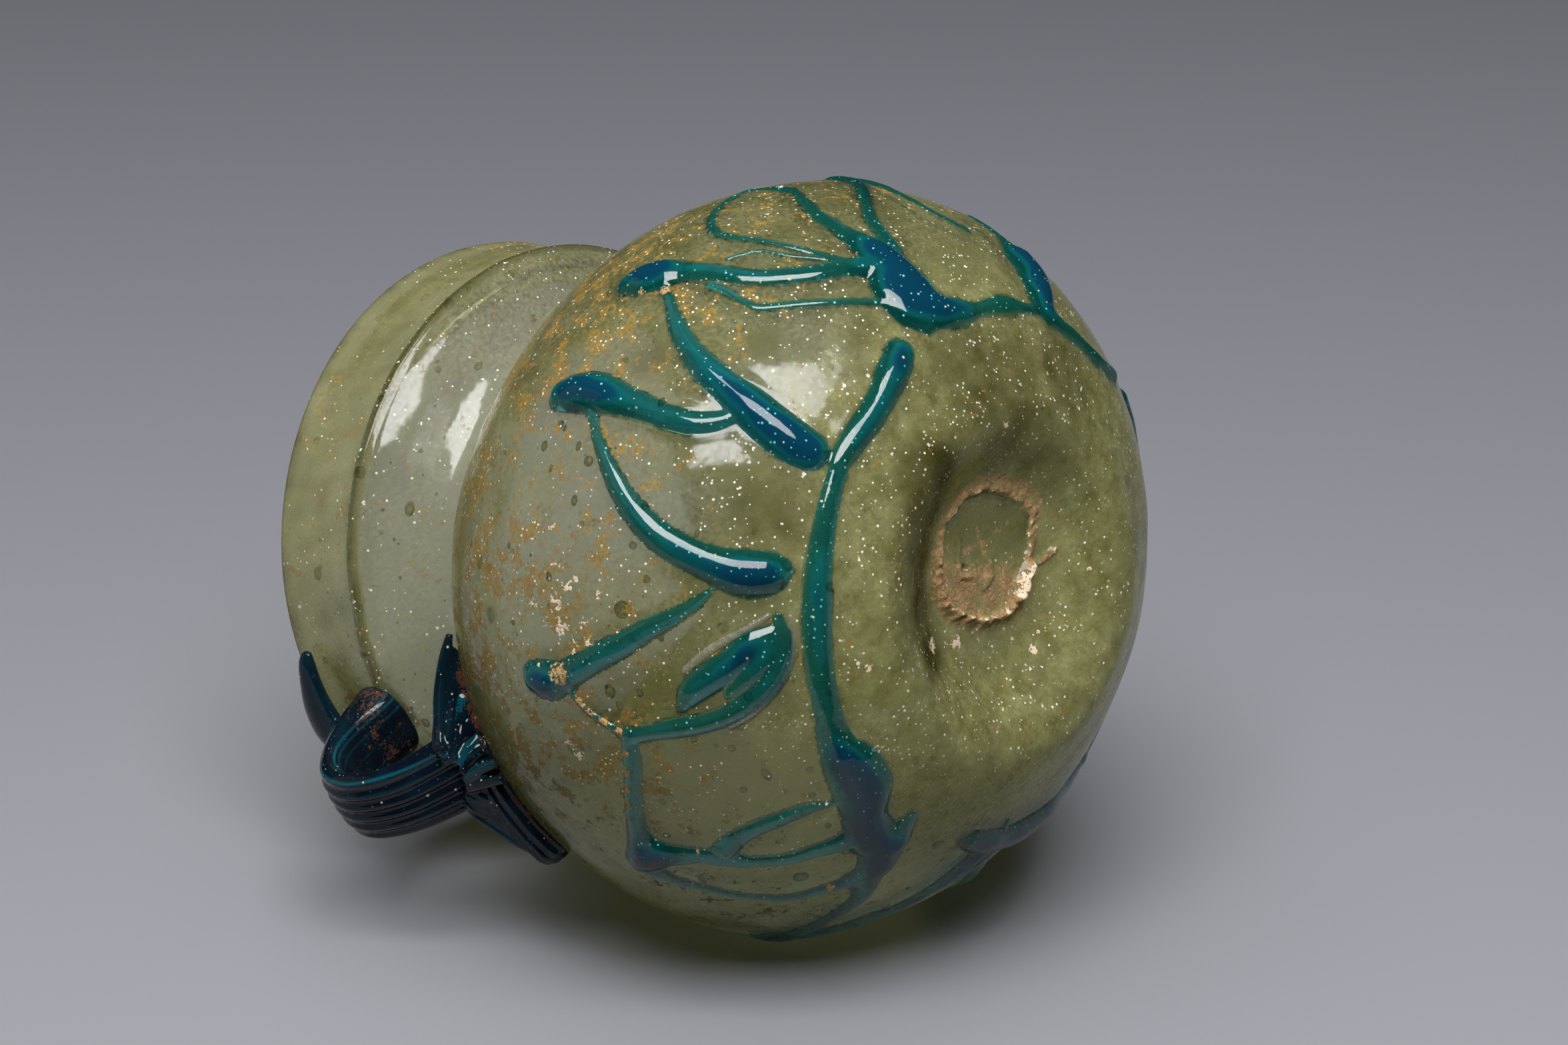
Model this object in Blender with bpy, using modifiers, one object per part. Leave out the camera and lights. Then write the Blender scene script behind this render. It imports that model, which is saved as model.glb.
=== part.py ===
"""A blown glass jar with a folded mouth, one drawn handle and a trailed vine.

Metres, +Z up. The handle points to +X, and the origin lies in the plane that the jar stands on, under
the middle of its box. The pieces are modelled about the jar's axis and moved there at the end.
A place on the belly is given by its turn (degrees from the handle, anticlockwise seen from above)
and its latitude (degrees above the widest level).
"""
import math

import bmesh
import bpy
from mathutils import Matrix, Vector

MM = 0.001

# Belly: two half ellipses that meet at the widest level
BELLY_RADIUS = 48.0 * MM
LOWER_HALF = 39.8 * MM
UPPER_HALF = 40.2 * MM
WALL = 2.2 * MM

# Base: a flat resting ring round a pushed-in middle
REST_RADIUS = 22.0 * MM
REST_WIDTH = 1.6 * MM
KICK_DEPTH = 4.6 * MM
KICK_SLOPE = 0.55
BASE_WALL = 3.0 * MM
BELLY_LEVEL = LOWER_HALF * math.sqrt(1 - (REST_RADIUS / BELLY_RADIUS) ** 2)

# Pontil scar: the broken ring left by the holding rod, a little off the axis
PONTIL_RADIUS = 7.9 * MM
PONTIL_THICKNESS = 1.3 * MM
PONTIL_PROUD = 1.4 * MM
PONTIL_OFFSET = 3.4 * MM
PONTIL_TURN = 129.0

# Neck and mouth: a throat, a flare, and a band whose lower edge is a raised fold
SHOULDER_END = 44.0
SHOULDER_LEVEL = BELLY_LEVEL + UPPER_HALF * math.sin(math.radians(SHOULDER_END))
NECK_RADIUS = 28.5 * MM
NECK_HEIGHT = 5.9 * MM
NECK_LEVEL = SHOULDER_LEVEL + NECK_HEIGHT
THROAT_DROP = 0.9 * MM
FLARE_HEIGHT = 10.2 * MM
FOLD_RADIUS = 37.8 * MM
FOLD_LEVEL = NECK_LEVEL + FLARE_HEIGHT
FOLD_PROUD = 0.7 * MM
FOLD_HEIGHT = 1.8 * MM
RIM_RADIUS = 38.4 * MM
BAND_HEIGHT = 14.6 * MM
RIM_LEVEL = FOLD_LEVEL + BAND_HEIGHT
BAND_WALL = 3.6 * MM
BAND_HOLLOW = 0.5 * MM

# The belly is blown a little lopsided: it sinks toward one side and rises toward the other.
# The lean begins outside the base and has gone where the throat begins.
LEAN = 0.056
LEAN_TURN = 129.0
LEAN_FROM_RADIUS = REST_RADIUS + 2.0 * MM
LEAN_FULL_RADIUS = LEAN_FROM_RADIUS + 9.0 * MM
LEAN_END_RISE = NECK_LEVEL - BELLY_LEVEL + 1.5 * MM
LEAN_FULL_RISE = LEAN_END_RISE - 7.0 * MM

SEGMENTS = 48
GAP = 0.3 * MM

# Handle: a ribbed strap that leaves the shoulder, bends over and is pressed on the mouth band
STRAP_WIDTH = 10.5 * MM
STRAP_THICKNESS = 3.6 * MM
STRAP_STANDOFF = 7.6 * MM
STRAP_BEND = 3.6 * MM
STRAP_RIBS = 6
RIB_HEIGHT = 0.45 * MM
FOOT_LATITUDE = 30.0
FOOT_WIDTH = 13.0 * MM
FOOT_THICKNESS = 5.0 * MM
PAD_WIDTH = 11.0 * MM
PAD_HEIGHT = 8.5 * MM
PAD_ROUND = 1.2 * MM
TOE_THICKNESS = 3.4 * MM
TAIL_WIDTH = 4.2 * MM
TAIL_THICKNESS = 3.2 * MM

# Trails: glass thread laid on the belly, domed, with its ends rounded
TRAIL_DOME = 0.42
TRAIL_DOME_LIMIT = 1.9 * MM
RANK_STEP = 0.1 * MM

# A thread's end reaches past its last station and narrows, both as shares of its width
END_REACH = 0.5
END_SHARE = 0.4

# Unit of the widths that the lists of threads and claws give
WIDTH_UNIT = 1.0 * MM

# Longest step in degrees along a piece laid on the belly
WALL_STEP = 7.0


def clear_scene():
    for old in list(bpy.data.objects):
        bpy.data.objects.remove(old, do_unlink=True)


def glass(name, colour, roughness):
    """Plain see-through glass of one colour."""
    material = bpy.data.materials.new(name)
    material.use_nodes = True
    shader = material.node_tree.nodes["Principled BSDF"]
    shader.inputs["Base Color"].default_value = (*colour, 1.0)
    shader.inputs["Roughness"].default_value = roughness
    shader.inputs["Metallic"].default_value = 0.0
    shader.inputs["IOR"].default_value = 1.5
    shader.inputs["Transmission Weight"].default_value = 0.6
    material.diffuse_color = (*colour, 1.0)
    return material


def smooth(low, high, value):
    """0 below low, 1 above high, and an even rise between."""
    share = min(max((value - low) / (high - low), 0.0), 1.0)
    return share * share * (3 - 2 * share)


def leaned(point):
    """The lopsided blow: points of the belly shift along the axis by their place across it."""
    radius = math.hypot(point.x, point.y)
    rise = point.z - BELLY_LEVEL
    share = smooth(LEAN_FROM_RADIUS, LEAN_FULL_RADIUS, radius)
    share *= smooth(-LEAN_END_RISE, -LEAN_FULL_RISE, -rise)
    turn = math.radians(LEAN_TURN)
    across = point.x * math.cos(turn) + point.y * math.sin(turn)
    return Vector((point.x, point.y, point.z - LEAN * across * share))


def belly_half(latitude):
    return UPPER_HALF if latitude > 0 else LOWER_HALF


def wall_frame(turn, latitude):
    """The point of the belly's outer wall at a turn and a latitude, and its outward normal."""
    lat = math.radians(latitude)
    half = belly_half(latitude)
    around = Vector((math.cos(math.radians(turn)), math.sin(math.radians(turn)), 0))
    point = around * BELLY_RADIUS * math.cos(lat) + Vector((0, 0, BELLY_LEVEL + half * math.sin(lat)))
    normal = around * math.cos(lat) / BELLY_RADIUS + Vector((0, 0, math.sin(lat) / half))
    return leaned(point), normal.normalized()


def bezier(start, first, second, end, count):
    """Points along a cubic curve, without its start."""
    points = []
    for step in range(1, count + 1):
        t = step / count
        s = 1 - t
        weights = (s ** 3, 3 * s * s * t, 3 * s * t * t, t ** 3)
        corners = (start, first, second, end)
        points.append(tuple(sum(w * c[axis] for w, c in zip(weights, corners)) for axis in (0, 1)))
    return points


def ellipse_arc(radius, half, start, end, count):
    """Points of a half ellipse about the belly's widest level, without the first."""
    points = []
    for step in range(1, count + 1):
        lat = math.radians(start + (end - start) * step / count)
        points.append((radius * math.cos(lat), BELLY_LEVEL + half * math.sin(lat)))
    return points


def neck_line(wall, count):
    """The flare, throat and shoulder, downwards, at a depth of wall inside the outer surface."""
    fold = (FOLD_RADIUS - wall, FOLD_LEVEL - FOLD_HEIGHT / 2 + wall * 0.4)
    throat = (NECK_RADIUS - wall, NECK_LEVEL + wall * 0.2)
    lat = math.radians(SHOULDER_END)
    shoulder = ((BELLY_RADIUS - wall) * math.cos(lat), BELLY_LEVEL + (UPPER_HALF - wall) * math.sin(lat))
    slope = math.hypot(math.sin(lat) * BELLY_RADIUS, math.cos(lat) * UPPER_HALF)
    lean_in = (-math.sin(lat) * BELLY_RADIUS / slope, math.cos(lat) * UPPER_HALF / slope)
    reach = 0.5 * (shoulder[0] - throat[0])
    flare = bezier(fold, (fold[0] - 0.45 * (fold[0] - throat[0]), fold[1] - 0.30 * (fold[1] - throat[1])),
                   (throat[0], throat[1] + 0.55 * (fold[1] - throat[1])), throat, count)
    hollow = bezier(throat, (throat[0], throat[1] - THROAT_DROP),
                    (shoulder[0] + lean_in[0] * reach, shoulder[1] + lean_in[1] * reach), shoulder, count - 1)
    return [fold] + flare + hollow


def lip():
    """The rounded top of the mouth, from its inside to its outside."""
    half = BAND_WALL / 2
    centre = (RIM_RADIUS - half, RIM_LEVEL - half)
    return [(centre[0] - half * math.cos(math.radians(a)), centre[1] + half * math.sin(math.radians(a)))
            for a in range(0, 181, 45)]


def band():
    """The outside of the mouth band, downwards: a slight hollow, then the raised fold."""
    top = RIM_LEVEL - BAND_WALL / 2
    bottom = FOLD_LEVEL + FOLD_HEIGHT / 2
    points = []
    for share in (0.5, 1.0):
        radius = RIM_RADIUS + (FOLD_RADIUS - RIM_RADIUS) * share
        hollow = BAND_HOLLOW * math.sin(math.pi * share)
        points.append((radius - hollow, top + (bottom - top) * share))
    for angle in (50, 0, -50):
        proud = FOLD_PROUD * math.cos(math.radians(angle))
        points.append((FOLD_RADIUS + proud, FOLD_LEVEL + FOLD_HEIGHT / 2 * math.sin(math.radians(angle))))
    return points


def kick_line(lift, count):
    """The pushed-in middle of the base, from the resting ring up a slope to its flat middle."""
    edge = REST_RADIUS - REST_WIDTH
    points = []
    for step in range(count + 1):
        share = step / count
        points.append((edge * (1 - share * KICK_SLOPE), lift + KICK_DEPTH * smooth(0, 1, share)))
    return points + [(0, lift + KICK_DEPTH)]


def jar_profile():
    """Half of the jar's section: up the inside from the axis, over the lip, down the outside."""
    base_latitude = -math.degrees(math.acos(REST_RADIUS / BELLY_RADIUS))
    inner = neck_line(WALL, 3) + ellipse_arc(BELLY_RADIUS - WALL, UPPER_HALF - WALL, SHOULDER_END, 0, 3)
    inner += ellipse_arc(BELLY_RADIUS - WALL, LOWER_HALF - BASE_WALL, 0, base_latitude, 5)
    inner += kick_line(BASE_WALL, 3)
    inner.reverse()
    outer = neck_line(0, 4) + ellipse_arc(BELLY_RADIUS, UPPER_HALF, SHOULDER_END, 0, 5)
    outer += ellipse_arc(BELLY_RADIUS, LOWER_HALF, 0, base_latitude, 7) + kick_line(0, 4)
    return inner + lip() + band() + outer


def turned(name, profile):
    """A closed solid from a half section, turned about the Z axis."""
    mesh = bpy.data.meshes.new(name)
    points = [(radius, 0, height) for radius, height in profile]
    mesh.from_pydata(points, [(i, i + 1) for i in range(len(points) - 1)], [])
    wire = bpy.data.objects.new(name + "_profile", mesh)
    bpy.context.collection.objects.link(wire)
    screw = wire.modifiers.new("turn", "SCREW")
    screw.axis = "Z"
    screw.angle = 2 * math.pi
    screw.steps = SEGMENTS
    screw.render_steps = SEGMENTS
    screw.use_merge_vertices = True
    screw.merge_threshold = 0.00001
    return baked(wire, name)


def baked(source, name):
    """A plain mesh object of what the source looks like with its modifiers, in the source's place."""
    graph = bpy.context.evaluated_depsgraph_get()
    mesh = bpy.data.meshes.new_from_object(source.evaluated_get(graph))
    mesh.transform(source.matrix_world)
    bpy.data.objects.remove(source, do_unlink=True)
    result = bpy.data.objects.new(name, mesh)
    bpy.context.collection.objects.link(result)
    return result


def lofted(name, rings):
    """A closed solid through rings of points, with a flat cap on each end."""
    build = bmesh.new()
    rows = [[build.verts.new(point) for point in ring] for ring in rings]
    count = len(rows[0])
    for low, high in zip(rows, rows[1:]):
        for i in range(count):
            j = (i + 1) % count
            build.faces.new((low[i], low[j], high[j], high[i]))
    build.faces.new(list(reversed(rows[0])))
    build.faces.new(rows[-1])
    bmesh.ops.triangulate(build, faces=build.faces)
    bmesh.ops.recalc_face_normals(build, faces=build.faces)
    mesh = bpy.data.meshes.new(name)
    build.to_mesh(mesh)
    build.free()
    result = bpy.data.objects.new(name, mesh)
    bpy.context.collection.objects.link(result)
    return result


def united(name, solids):
    """One solid from several that overlap."""
    first = solids[0]
    for other in solids[1:]:
        join = first.modifiers.new("join", "BOOLEAN")
        join.operation = "UNION"
        join.solver = "EXACT"
        join.object = other
    result = baked(first, name)
    for other in solids[1:]:
        bpy.data.objects.remove(other, do_unlink=True)
    return result


def finished(piece, material, collection):
    """Give a piece its glass, smooth its round faces and file it with the jar's pieces."""
    piece.data.materials.clear()
    piece.data.materials.append(material)
    piece.data.shade_smooth()
    piece.data.set_sharp_from_angle(angle=math.radians(40))
    for old in list(piece.users_collection):
        old.objects.unlink(piece)
    collection.objects.link(piece)


def through(stations, counts):
    """A smooth curve of tuples through the stations, with so many steps after each but the last."""
    rows = [stations[0]] + list(stations) + [stations[-1]]
    result = []
    for before, start, end, after, count in zip(rows, rows[1:], rows[2:], rows[3:], counts):
        for step in range(count):
            t = step / count
            result.append(tuple(0.5 * (2 * b + (c - a) * t + (2 * a - 5 * b + 4 * c - d) * t ** 2
                                       + (3 * b - a - 3 * c + d) * t ** 3)
                                for a, b, c, d in zip(before, start, end, after)))
    result.append(tuple(stations[-1]))
    return result


# Jar

def make_vessel():
    """The blown body with its folded mouth, leaned, and the pontil ring joined under its base."""
    body = turned("body", jar_profile())
    for vertex in body.data.vertices:
        vertex.co = leaned(vertex.co)
    bpy.ops.mesh.primitive_torus_add(major_radius=PONTIL_RADIUS, minor_radius=PONTIL_THICKNESS,
                                     major_segments=24, minor_segments=8)
    scar = bpy.context.object
    turn = math.radians(PONTIL_TURN)
    scar.location = (PONTIL_OFFSET * math.cos(turn), PONTIL_OFFSET * math.sin(turn),
                     KICK_DEPTH + PONTIL_THICKNESS - PONTIL_PROUD)
    bpy.context.view_layer.update()
    return united("vessel", [body, baked(scar, "scar")])


# Handle

def strap_ring(centre, side, out, width, thickness, ribs):
    """A section of the strap: ribbed on its outer face, plain and rounded on its inner one."""
    steps = 2 * STRAP_RIBS
    ring = []
    for step in range(steps + 1):
        share = 2 * step / steps - 1
        rib = ribs * (0.5 if step % 2 else -0.5)
        rise = thickness / 2 * math.sqrt(max(1 - share ** 4, 0.0)) * 0.9
        ring.append(centre + side * share * width / 2 + out * (rise + rib))
    for share in (0.75, 0.0, -0.75):
        ring.append(centre + side * share * width / 2 - out * thickness / 2)
    return ring


def strap():
    """The strap, from a seat on the shoulder, out, up and over to a seat on the mouth band."""
    seat, normal = wall_frame(0, FOOT_LATITUDE)
    start = seat + normal * GAP
    rise = start + normal * STRAP_THICKNESS
    outer = BELLY_RADIUS + STRAP_STANDOFF - STRAP_THICKNESS / 2
    bend = FOLD_LEVEL - STRAP_BEND
    climb = bend - rise.z
    landing = FOLD_RADIUS + FOLD_PROUD + GAP
    over = outer - landing
    # Radius, height, width, thickness and rib height down the strap's middle line
    stations = [(start.x, start.z, FOOT_WIDTH, FOOT_THICKNESS, 0),
                (rise.x, rise.z, STRAP_WIDTH * 1.1, STRAP_THICKNESS * 1.1, RIB_HEIGHT),
                (outer - 0.17 * over, rise.z + 0.28 * climb, STRAP_WIDTH, STRAP_THICKNESS, RIB_HEIGHT),
                (outer, rise.z + 0.62 * climb, STRAP_WIDTH, STRAP_THICKNESS, RIB_HEIGHT),
                (outer - 0.06 * over, bend - 0.09 * climb, STRAP_WIDTH, STRAP_THICKNESS, RIB_HEIGHT),
                (outer - 0.27 * over, bend + 0.10 * climb, STRAP_WIDTH, STRAP_THICKNESS, RIB_HEIGHT),
                (outer - 0.56 * over, bend + 0.18 * climb, PAD_WIDTH, STRAP_THICKNESS * 1.5, RIB_HEIGHT / 2),
                (landing + PAD_ROUND, FOLD_LEVEL, PAD_WIDTH, PAD_HEIGHT, 0),
                (landing, FOLD_LEVEL, PAD_WIDTH - PAD_ROUND, PAD_HEIGHT - PAD_ROUND, 0)]
    line = through(stations[:-1], [3] * 7) + stations[-1:]
    side = Vector((0, 1, 0))
    rings = []
    for index, (radius, height, width, thickness, ribs) in enumerate(line):
        before = line[max(index - 1, 0)]
        after = line[min(index + 1, len(line) - 1)]
        along = Vector((after[0] - before[0], 0, after[1] - before[1])).normalized()
        if index == 0:
            along = normal
        if index >= len(line) - 2:
            along = Vector((-1, 0, 0))
        out = along.cross(side) * -1
        rings.append(strap_ring(Vector((radius, 0, height)), side, out, width, thickness, ribs))
    return lofted("strap", rings)


def along_wall(stations):
    """A smooth curve through stations of turn, latitude and width, in steps that keep to the wall."""
    spans = [max(abs(end[0] - start[0]), abs(end[1] - start[1]))
             for start, end in zip(stations, stations[1:])]
    return through(stations, [math.ceil(span / WALL_STEP) for span in spans])


def toe(name, stations):
    """A claw of the foot laid on the shoulder: turn, latitude and width, tapering to its tip."""
    rings = []
    line = along_wall(stations)
    for index, (turn, latitude, width) in enumerate(line):
        seat, normal = wall_frame(turn, latitude)
        before = wall_frame(*line[max(index - 1, 0)][:2])[0]
        after = wall_frame(*line[min(index + 1, len(line) - 1)][:2])[0]
        side = (after - before).normalized().cross(normal)
        across = width * WIDTH_UNIT
        height = min(TOE_THICKNESS, across)
        rings.append([seat + side * (x * across / 2) + normal * (GAP + z * height)
                      for x, z in ((-0.8, 0), (0.8, 0), (1, 0.35), (0.55, 0.9), (-0.55, 0.9), (-1, 0.35))])
    return lofted(name, rings)


def tail():
    """The strap's thin end, drawn up the mouth band and laid along under the rim."""
    on_fold = FOLD_RADIUS + FOLD_PROUD + GAP + TAIL_THICKNESS / 2
    on_rim = RIM_RADIUS + GAP + TAIL_THICKNESS / 2
    # Turn, radius, height, and the shares of the tail's width and thickness
    stations = [(-1, on_fold, FOLD_LEVEL + 0.07 * BAND_HEIGHT, 1.7, 1.3),
                (-4, on_rim + 0.12 * TAIL_THICKNESS, FOLD_LEVEL + 0.445 * BAND_HEIGHT, 1.2, 1.15),
                (-4, on_rim + 0.19 * TAIL_THICKNESS, FOLD_LEVEL + 0.753 * BAND_HEIGHT, 1.0, 1.1),
                (1, on_rim + 0.06 * TAIL_THICKNESS, FOLD_LEVEL + 0.836 * BAND_HEIGHT, 0.95, 1.0),
                (7, on_rim - 0.03 * TAIL_THICKNESS, FOLD_LEVEL + 0.801 * BAND_HEIGHT, 0.75, 0.8),
                (12, on_rim - 0.16 * TAIL_THICKNESS, FOLD_LEVEL + 0.747 * BAND_HEIGHT, 0.5, 0.6),
                (14, on_rim - 0.25 * TAIL_THICKNESS, FOLD_LEVEL + 0.719 * BAND_HEIGHT, 0.22, 0.3)]
    places = []
    for turn, radius, height, width, thickness in through(stations, [2] * 6):
        around = Vector((math.cos(math.radians(turn)), math.sin(math.radians(turn)), 0))
        places.append((around * radius + Vector((0, 0, height)), around, width, thickness))
    rings = []
    for index, (centre, around, width, thickness) in enumerate(places):
        along = places[min(index + 1, len(places) - 1)][0] - places[max(index - 1, 0)][0]
        side = along.normalized().cross(around).normalized()
        angles = [math.radians(a) for a in range(0, 360, 60)]
        rings.append([centre + side * math.cos(a) * width * TAIL_WIDTH / 2
                      + around * math.sin(a) * thickness * TAIL_THICKNESS / 2 for a in angles])
    return lofted("tail", rings)


def make_handle():
    """The strap with its two claws and the web between them, and the tail on the rim."""
    root = FOOT_LATITUDE
    upper = toe("upper_toe", [(-2, root, 6.0), (6, root + 1, 5.6), (14, root + 4, 4.0), (22, root + 6, 1.4)])
    lower = toe("lower_toe", [(2, root - 1, 6.0), (-5, root - 3, 6.4), (-11, root - 7, 5.0),
                              (-17, root - 12, 2.0)])
    web = toe("web", [(8, root, 3.0), (3, root - 1, 4.0), (-3, root - 3, 4.0), (-7, root - 5, 2.6)])
    return united("handle", [strap(), upper, lower, web, tail()])


# Trailed vine

def bead(name, stations, rank):
    """A thread laid on the belly through stations of turn, latitude and width, with rounded ends."""
    line = along_wall(stations)
    places = []
    for index, (turn, latitude, width) in enumerate(line):
        seat, normal = wall_frame(turn, latitude)
        before = wall_frame(*line[max(index - 1, 0)][:2])[0]
        after = wall_frame(*line[min(index + 1, len(line) - 1)][:2])[0]
        places.append((seat, normal, (after - before).normalized(), width * WIDTH_UNIT))
    seat, normal, along, width = places[0]
    head = (seat - along * width * END_REACH, normal, along, width * END_SHARE)
    seat, normal, along, width = places[-1]
    foot = (seat + along * width * END_REACH, normal, along, width * END_SHARE)
    rings = []
    for seat, normal, along, width in [head] + places + [foot]:
        side = along.cross(normal).normalized()
        dome = min(width * TRAIL_DOME, TRAIL_DOME_LIMIT)
        lift = GAP + rank * RANK_STEP
        rings.append([seat + side * x * width / 2 + normal * (lift + z * dome)
                      for x, z in ((-0.9, 0), (0.9, 0), (0.85, 0.6), (0, 1), (-0.85, 0.6))])
    return lofted(name, rings)


# Threads on the side that carries the leaf. Rank 0 lies lowest; a thread that crosses another
# has another rank, so that their undersides stay apart.
FRONT_THREADS = (
    ("stem", 0, [(91, -48, 4.4), (83, -50, 4.2), (66, -50, 3.2), (40, -51, 3.1), (10, -51, 3.4),
                 (-11, -50, 6.8)]),
    ("stem_gather", 1, [(-9, -50, 6.0), (-19, -48, 5.0), (-27, -46, 7.0), (-34, -47, 4.4)]),
    ("stem_tail", 2, [(-26, -46, 4.6), (-34, -41, 4.4), (-40, -33, 3.8), (-42, -24, 3.4), (-42, -14, 2.8)]),
    ("arm", 1, [(84, -3, 5.0), (86, -9, 3.8), (90, -20, 3.0), (102, -32, 3.4)]),
    ("first_fall", 2, [(84, -7, 2.4), (79, -13, 2.4), (75, -20, 3.6), (70, -31, 4.4), (67, -40, 5.0),
                       (65, -46, 4.0)]),
    ("first_rise", 0, [(64, -3, 5.4), (63, -11, 4.4), (62, -21, 3.6), (68, -34, 3.0)]),
    ("second_fall", 1, [(63, -6, 1.6), (56, -14, 2.4), (49, -21, 3.2), (42, -32, 3.8), (39, -42, 4.8),
                        (42, -46, 2.4)]),
    ("second_rise", 2, [(38, -37, 2.4), (31, -28, 3.2), (27, -19, 3.4), (23, -8, 5.0)]),
    ("third_fall", 0, [(21, -9, 2.0), (17, -13, 2.2), (12, -19, 3.4), (6, -18, 2.8), (0, -15, 3.2),
                       (-8, -13, 6.0)]),
    ("leaf_edge", 1, [(12, -19, 2.8), (13, -28, 2.8), (14, -35, 2.8), (19, -41, 4.4), (25, -44, 4.6),
                      (31, -46, 1.4)]),
    ("leaf_blade", 2, [(15, -28, 1.6), (19, -32, 3.2), (23, -38, 4.2), (27, -43, 3.4), (29, -44, 2.0)]),
    ("loop_outer", 1, [(-8, -13, 5.4), (-10, -22, 3.8), (-18, -31, 3.0), (-24, -42, 3.2), (-27, -46, 4.0)]),
    ("loop_inner", 3, [(-12, -22, 2.2), (-11, -33, 1.8), (-11, -43, 1.7), (-12, -49, 2.0)]),
    ("loop_low", 3, [(-11, -13, 2.2), (-20, -18, 1.5), (-29, -27, 1.5), (-36, -39, 2.2)]),
    ("crown", 0, [(112, -4, 3.2), (109, -16, 3.0), (107, -27, 3.6), (106, -35, 6.4), (109, -44, 5.4)]),
    ("crown_loop", 2, [(111, -5, 2.6), (103, -1, 1.8), (96, -6, 1.8), (97, -18, 1.7), (104, -30, 2.0)]),
    ("crown_peak", 3, [(125, -7, 3.2), (118, -19, 2.4), (112, -30, 2.8), (108, -38, 3.0)]),
    ("crown_back", 2, [(125, -7, 3.2), (126, -15, 2.0), (127, -23, 1.6), (132, -31, 1.4)]),
    ("crown_thin", 3, [(87, -13, 1.5), (85, -23, 1.6), (91, -34, 1.6), (101, -41, 2.4)]),
    ("crown_stem", 1, [(108, -42, 5.0), (114, -48, 3.6), (128, -47, 3.6), (144, -46, 3.4), (160, -44, 3.0),
                       (172, -41, 2.8)]),
    ("crown_knot", 2, [(140, -29, 3.6), (142, -38, 5.0), (145, -44, 4.0)]),
)

# The far side: one long stem, and a zigzag whose lower corners lie on it
FAR_STEM = ((-58, -47, 3.0), (-68, -44, 4.2), (-86, -39, 4.4), (-104, -32, 3.2), (-140, -30, 3.2),
            (-174, -31, 3.0))
FAR_FIRST_TOP = -44.0
FAR_STRIDE = 38.0
FAR_ZIGZAGS = 3
FAR_LOW_SHARE = 0.58
FAR_TOP_LATITUDE = -8.0


def stem_latitude(turn):
    """The far stem's latitude at a turn."""
    for (start, low, _), (end, high, _) in zip(FAR_STEM, FAR_STEM[1:]):
        if start >= turn >= end:
            return low + (high - low) * (start - turn) / (start - end)
    return FAR_STEM[-1][1]


def far_threads():
    """The stem of the far side, and a fall and a rise for each zigzag."""
    threads = [("far_stem", 0, FAR_STEM)]
    for index in range(FAR_ZIGZAGS):
        top = FAR_FIRST_TOP - index * FAR_STRIDE
        low = top - FAR_STRIDE * FAR_LOW_SHARE
        corner = top - FAR_STRIDE
        depth = stem_latitude(low)
        middle = (FAR_TOP_LATITUDE + depth) / 2
        fall = [(top, FAR_TOP_LATITUDE, 2.8), ((top + low) / 2, middle, 2.2), (low, depth, 3.6)]
        rise = [(low, depth, 2.4), ((low + corner) / 2, middle, 2.6), (corner, FAR_TOP_LATITUDE, 3.8)]
        threads.append(("far_fall_%d" % index, 1, fall))
        threads.append(("far_rise_%d" % index, 2, rise))
    return threads


def make_vine(name, threads):
    return united(name, [bead(thread, stations, rank) for thread, rank, stations in threads])


def set_on_origin(pieces):
    """Move the pieces sideways so that the origin lies under the middle of their box."""
    points = [vertex.co for piece in pieces for vertex in piece.data.vertices]
    middle_x = (min(p.x for p in points) + max(p.x for p in points)) / 2
    middle_y = (min(p.y for p in points) + max(p.y for p in points)) / 2
    for piece in pieces:
        piece.data.transform(Matrix.Translation((-middle_x, -middle_y, 0)))


def main():
    clear_scene()
    pieces = bpy.data.collections.new("trailed_glass_jar")
    bpy.context.scene.collection.children.link(pieces)
    olive = glass("olive_green_glass", (0.28, 0.30, 0.14), 0.12)
    navy = glass("dark_blue_glass", (0.01, 0.04, 0.07), 0.15)
    turquoise = glass("turquoise_glass", (0.01, 0.17, 0.20), 0.10)
    finished(make_vessel(), olive, pieces)
    finished(make_handle(), navy, pieces)
    finished(make_vine("vine_front", FRONT_THREADS), turquoise, pieces)
    finished(make_vine("vine_back", far_threads()), turquoise, pieces)
    set_on_origin(pieces.objects)


main()
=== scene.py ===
"""The looks of a blown glass jar with a folded mouth, one drawn handle and a trailed vine.

The jar stands upright in its own frame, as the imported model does. The camera and the pale floor that it
lies on are turned about it instead, so the view shows it on its side. Lengths in the tables are in
millimetres about the jar's axis and turns in degrees about it. mesh_piece turns them to metres in the
model's frame.
"""
import math

import bpy
import numpy as np
from mathutils import Matrix, Vector, kdtree


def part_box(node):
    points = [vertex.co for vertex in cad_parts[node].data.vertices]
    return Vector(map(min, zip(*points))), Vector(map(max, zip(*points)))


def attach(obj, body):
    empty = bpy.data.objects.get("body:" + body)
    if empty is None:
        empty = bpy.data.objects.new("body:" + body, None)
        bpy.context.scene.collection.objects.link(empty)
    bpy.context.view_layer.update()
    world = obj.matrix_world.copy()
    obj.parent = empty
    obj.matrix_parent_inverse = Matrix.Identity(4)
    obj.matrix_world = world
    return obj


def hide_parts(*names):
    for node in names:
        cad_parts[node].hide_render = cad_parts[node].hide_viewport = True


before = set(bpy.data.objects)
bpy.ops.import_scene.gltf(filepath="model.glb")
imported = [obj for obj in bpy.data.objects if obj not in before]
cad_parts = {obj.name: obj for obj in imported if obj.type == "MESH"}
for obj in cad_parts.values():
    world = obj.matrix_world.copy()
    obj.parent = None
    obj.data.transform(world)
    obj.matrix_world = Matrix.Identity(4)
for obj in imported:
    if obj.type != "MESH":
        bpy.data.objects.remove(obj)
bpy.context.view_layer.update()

MM = 0.001
low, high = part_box("vessel")
AXIS_X = (low[0] + high[0]) / 2 / MM
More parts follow.
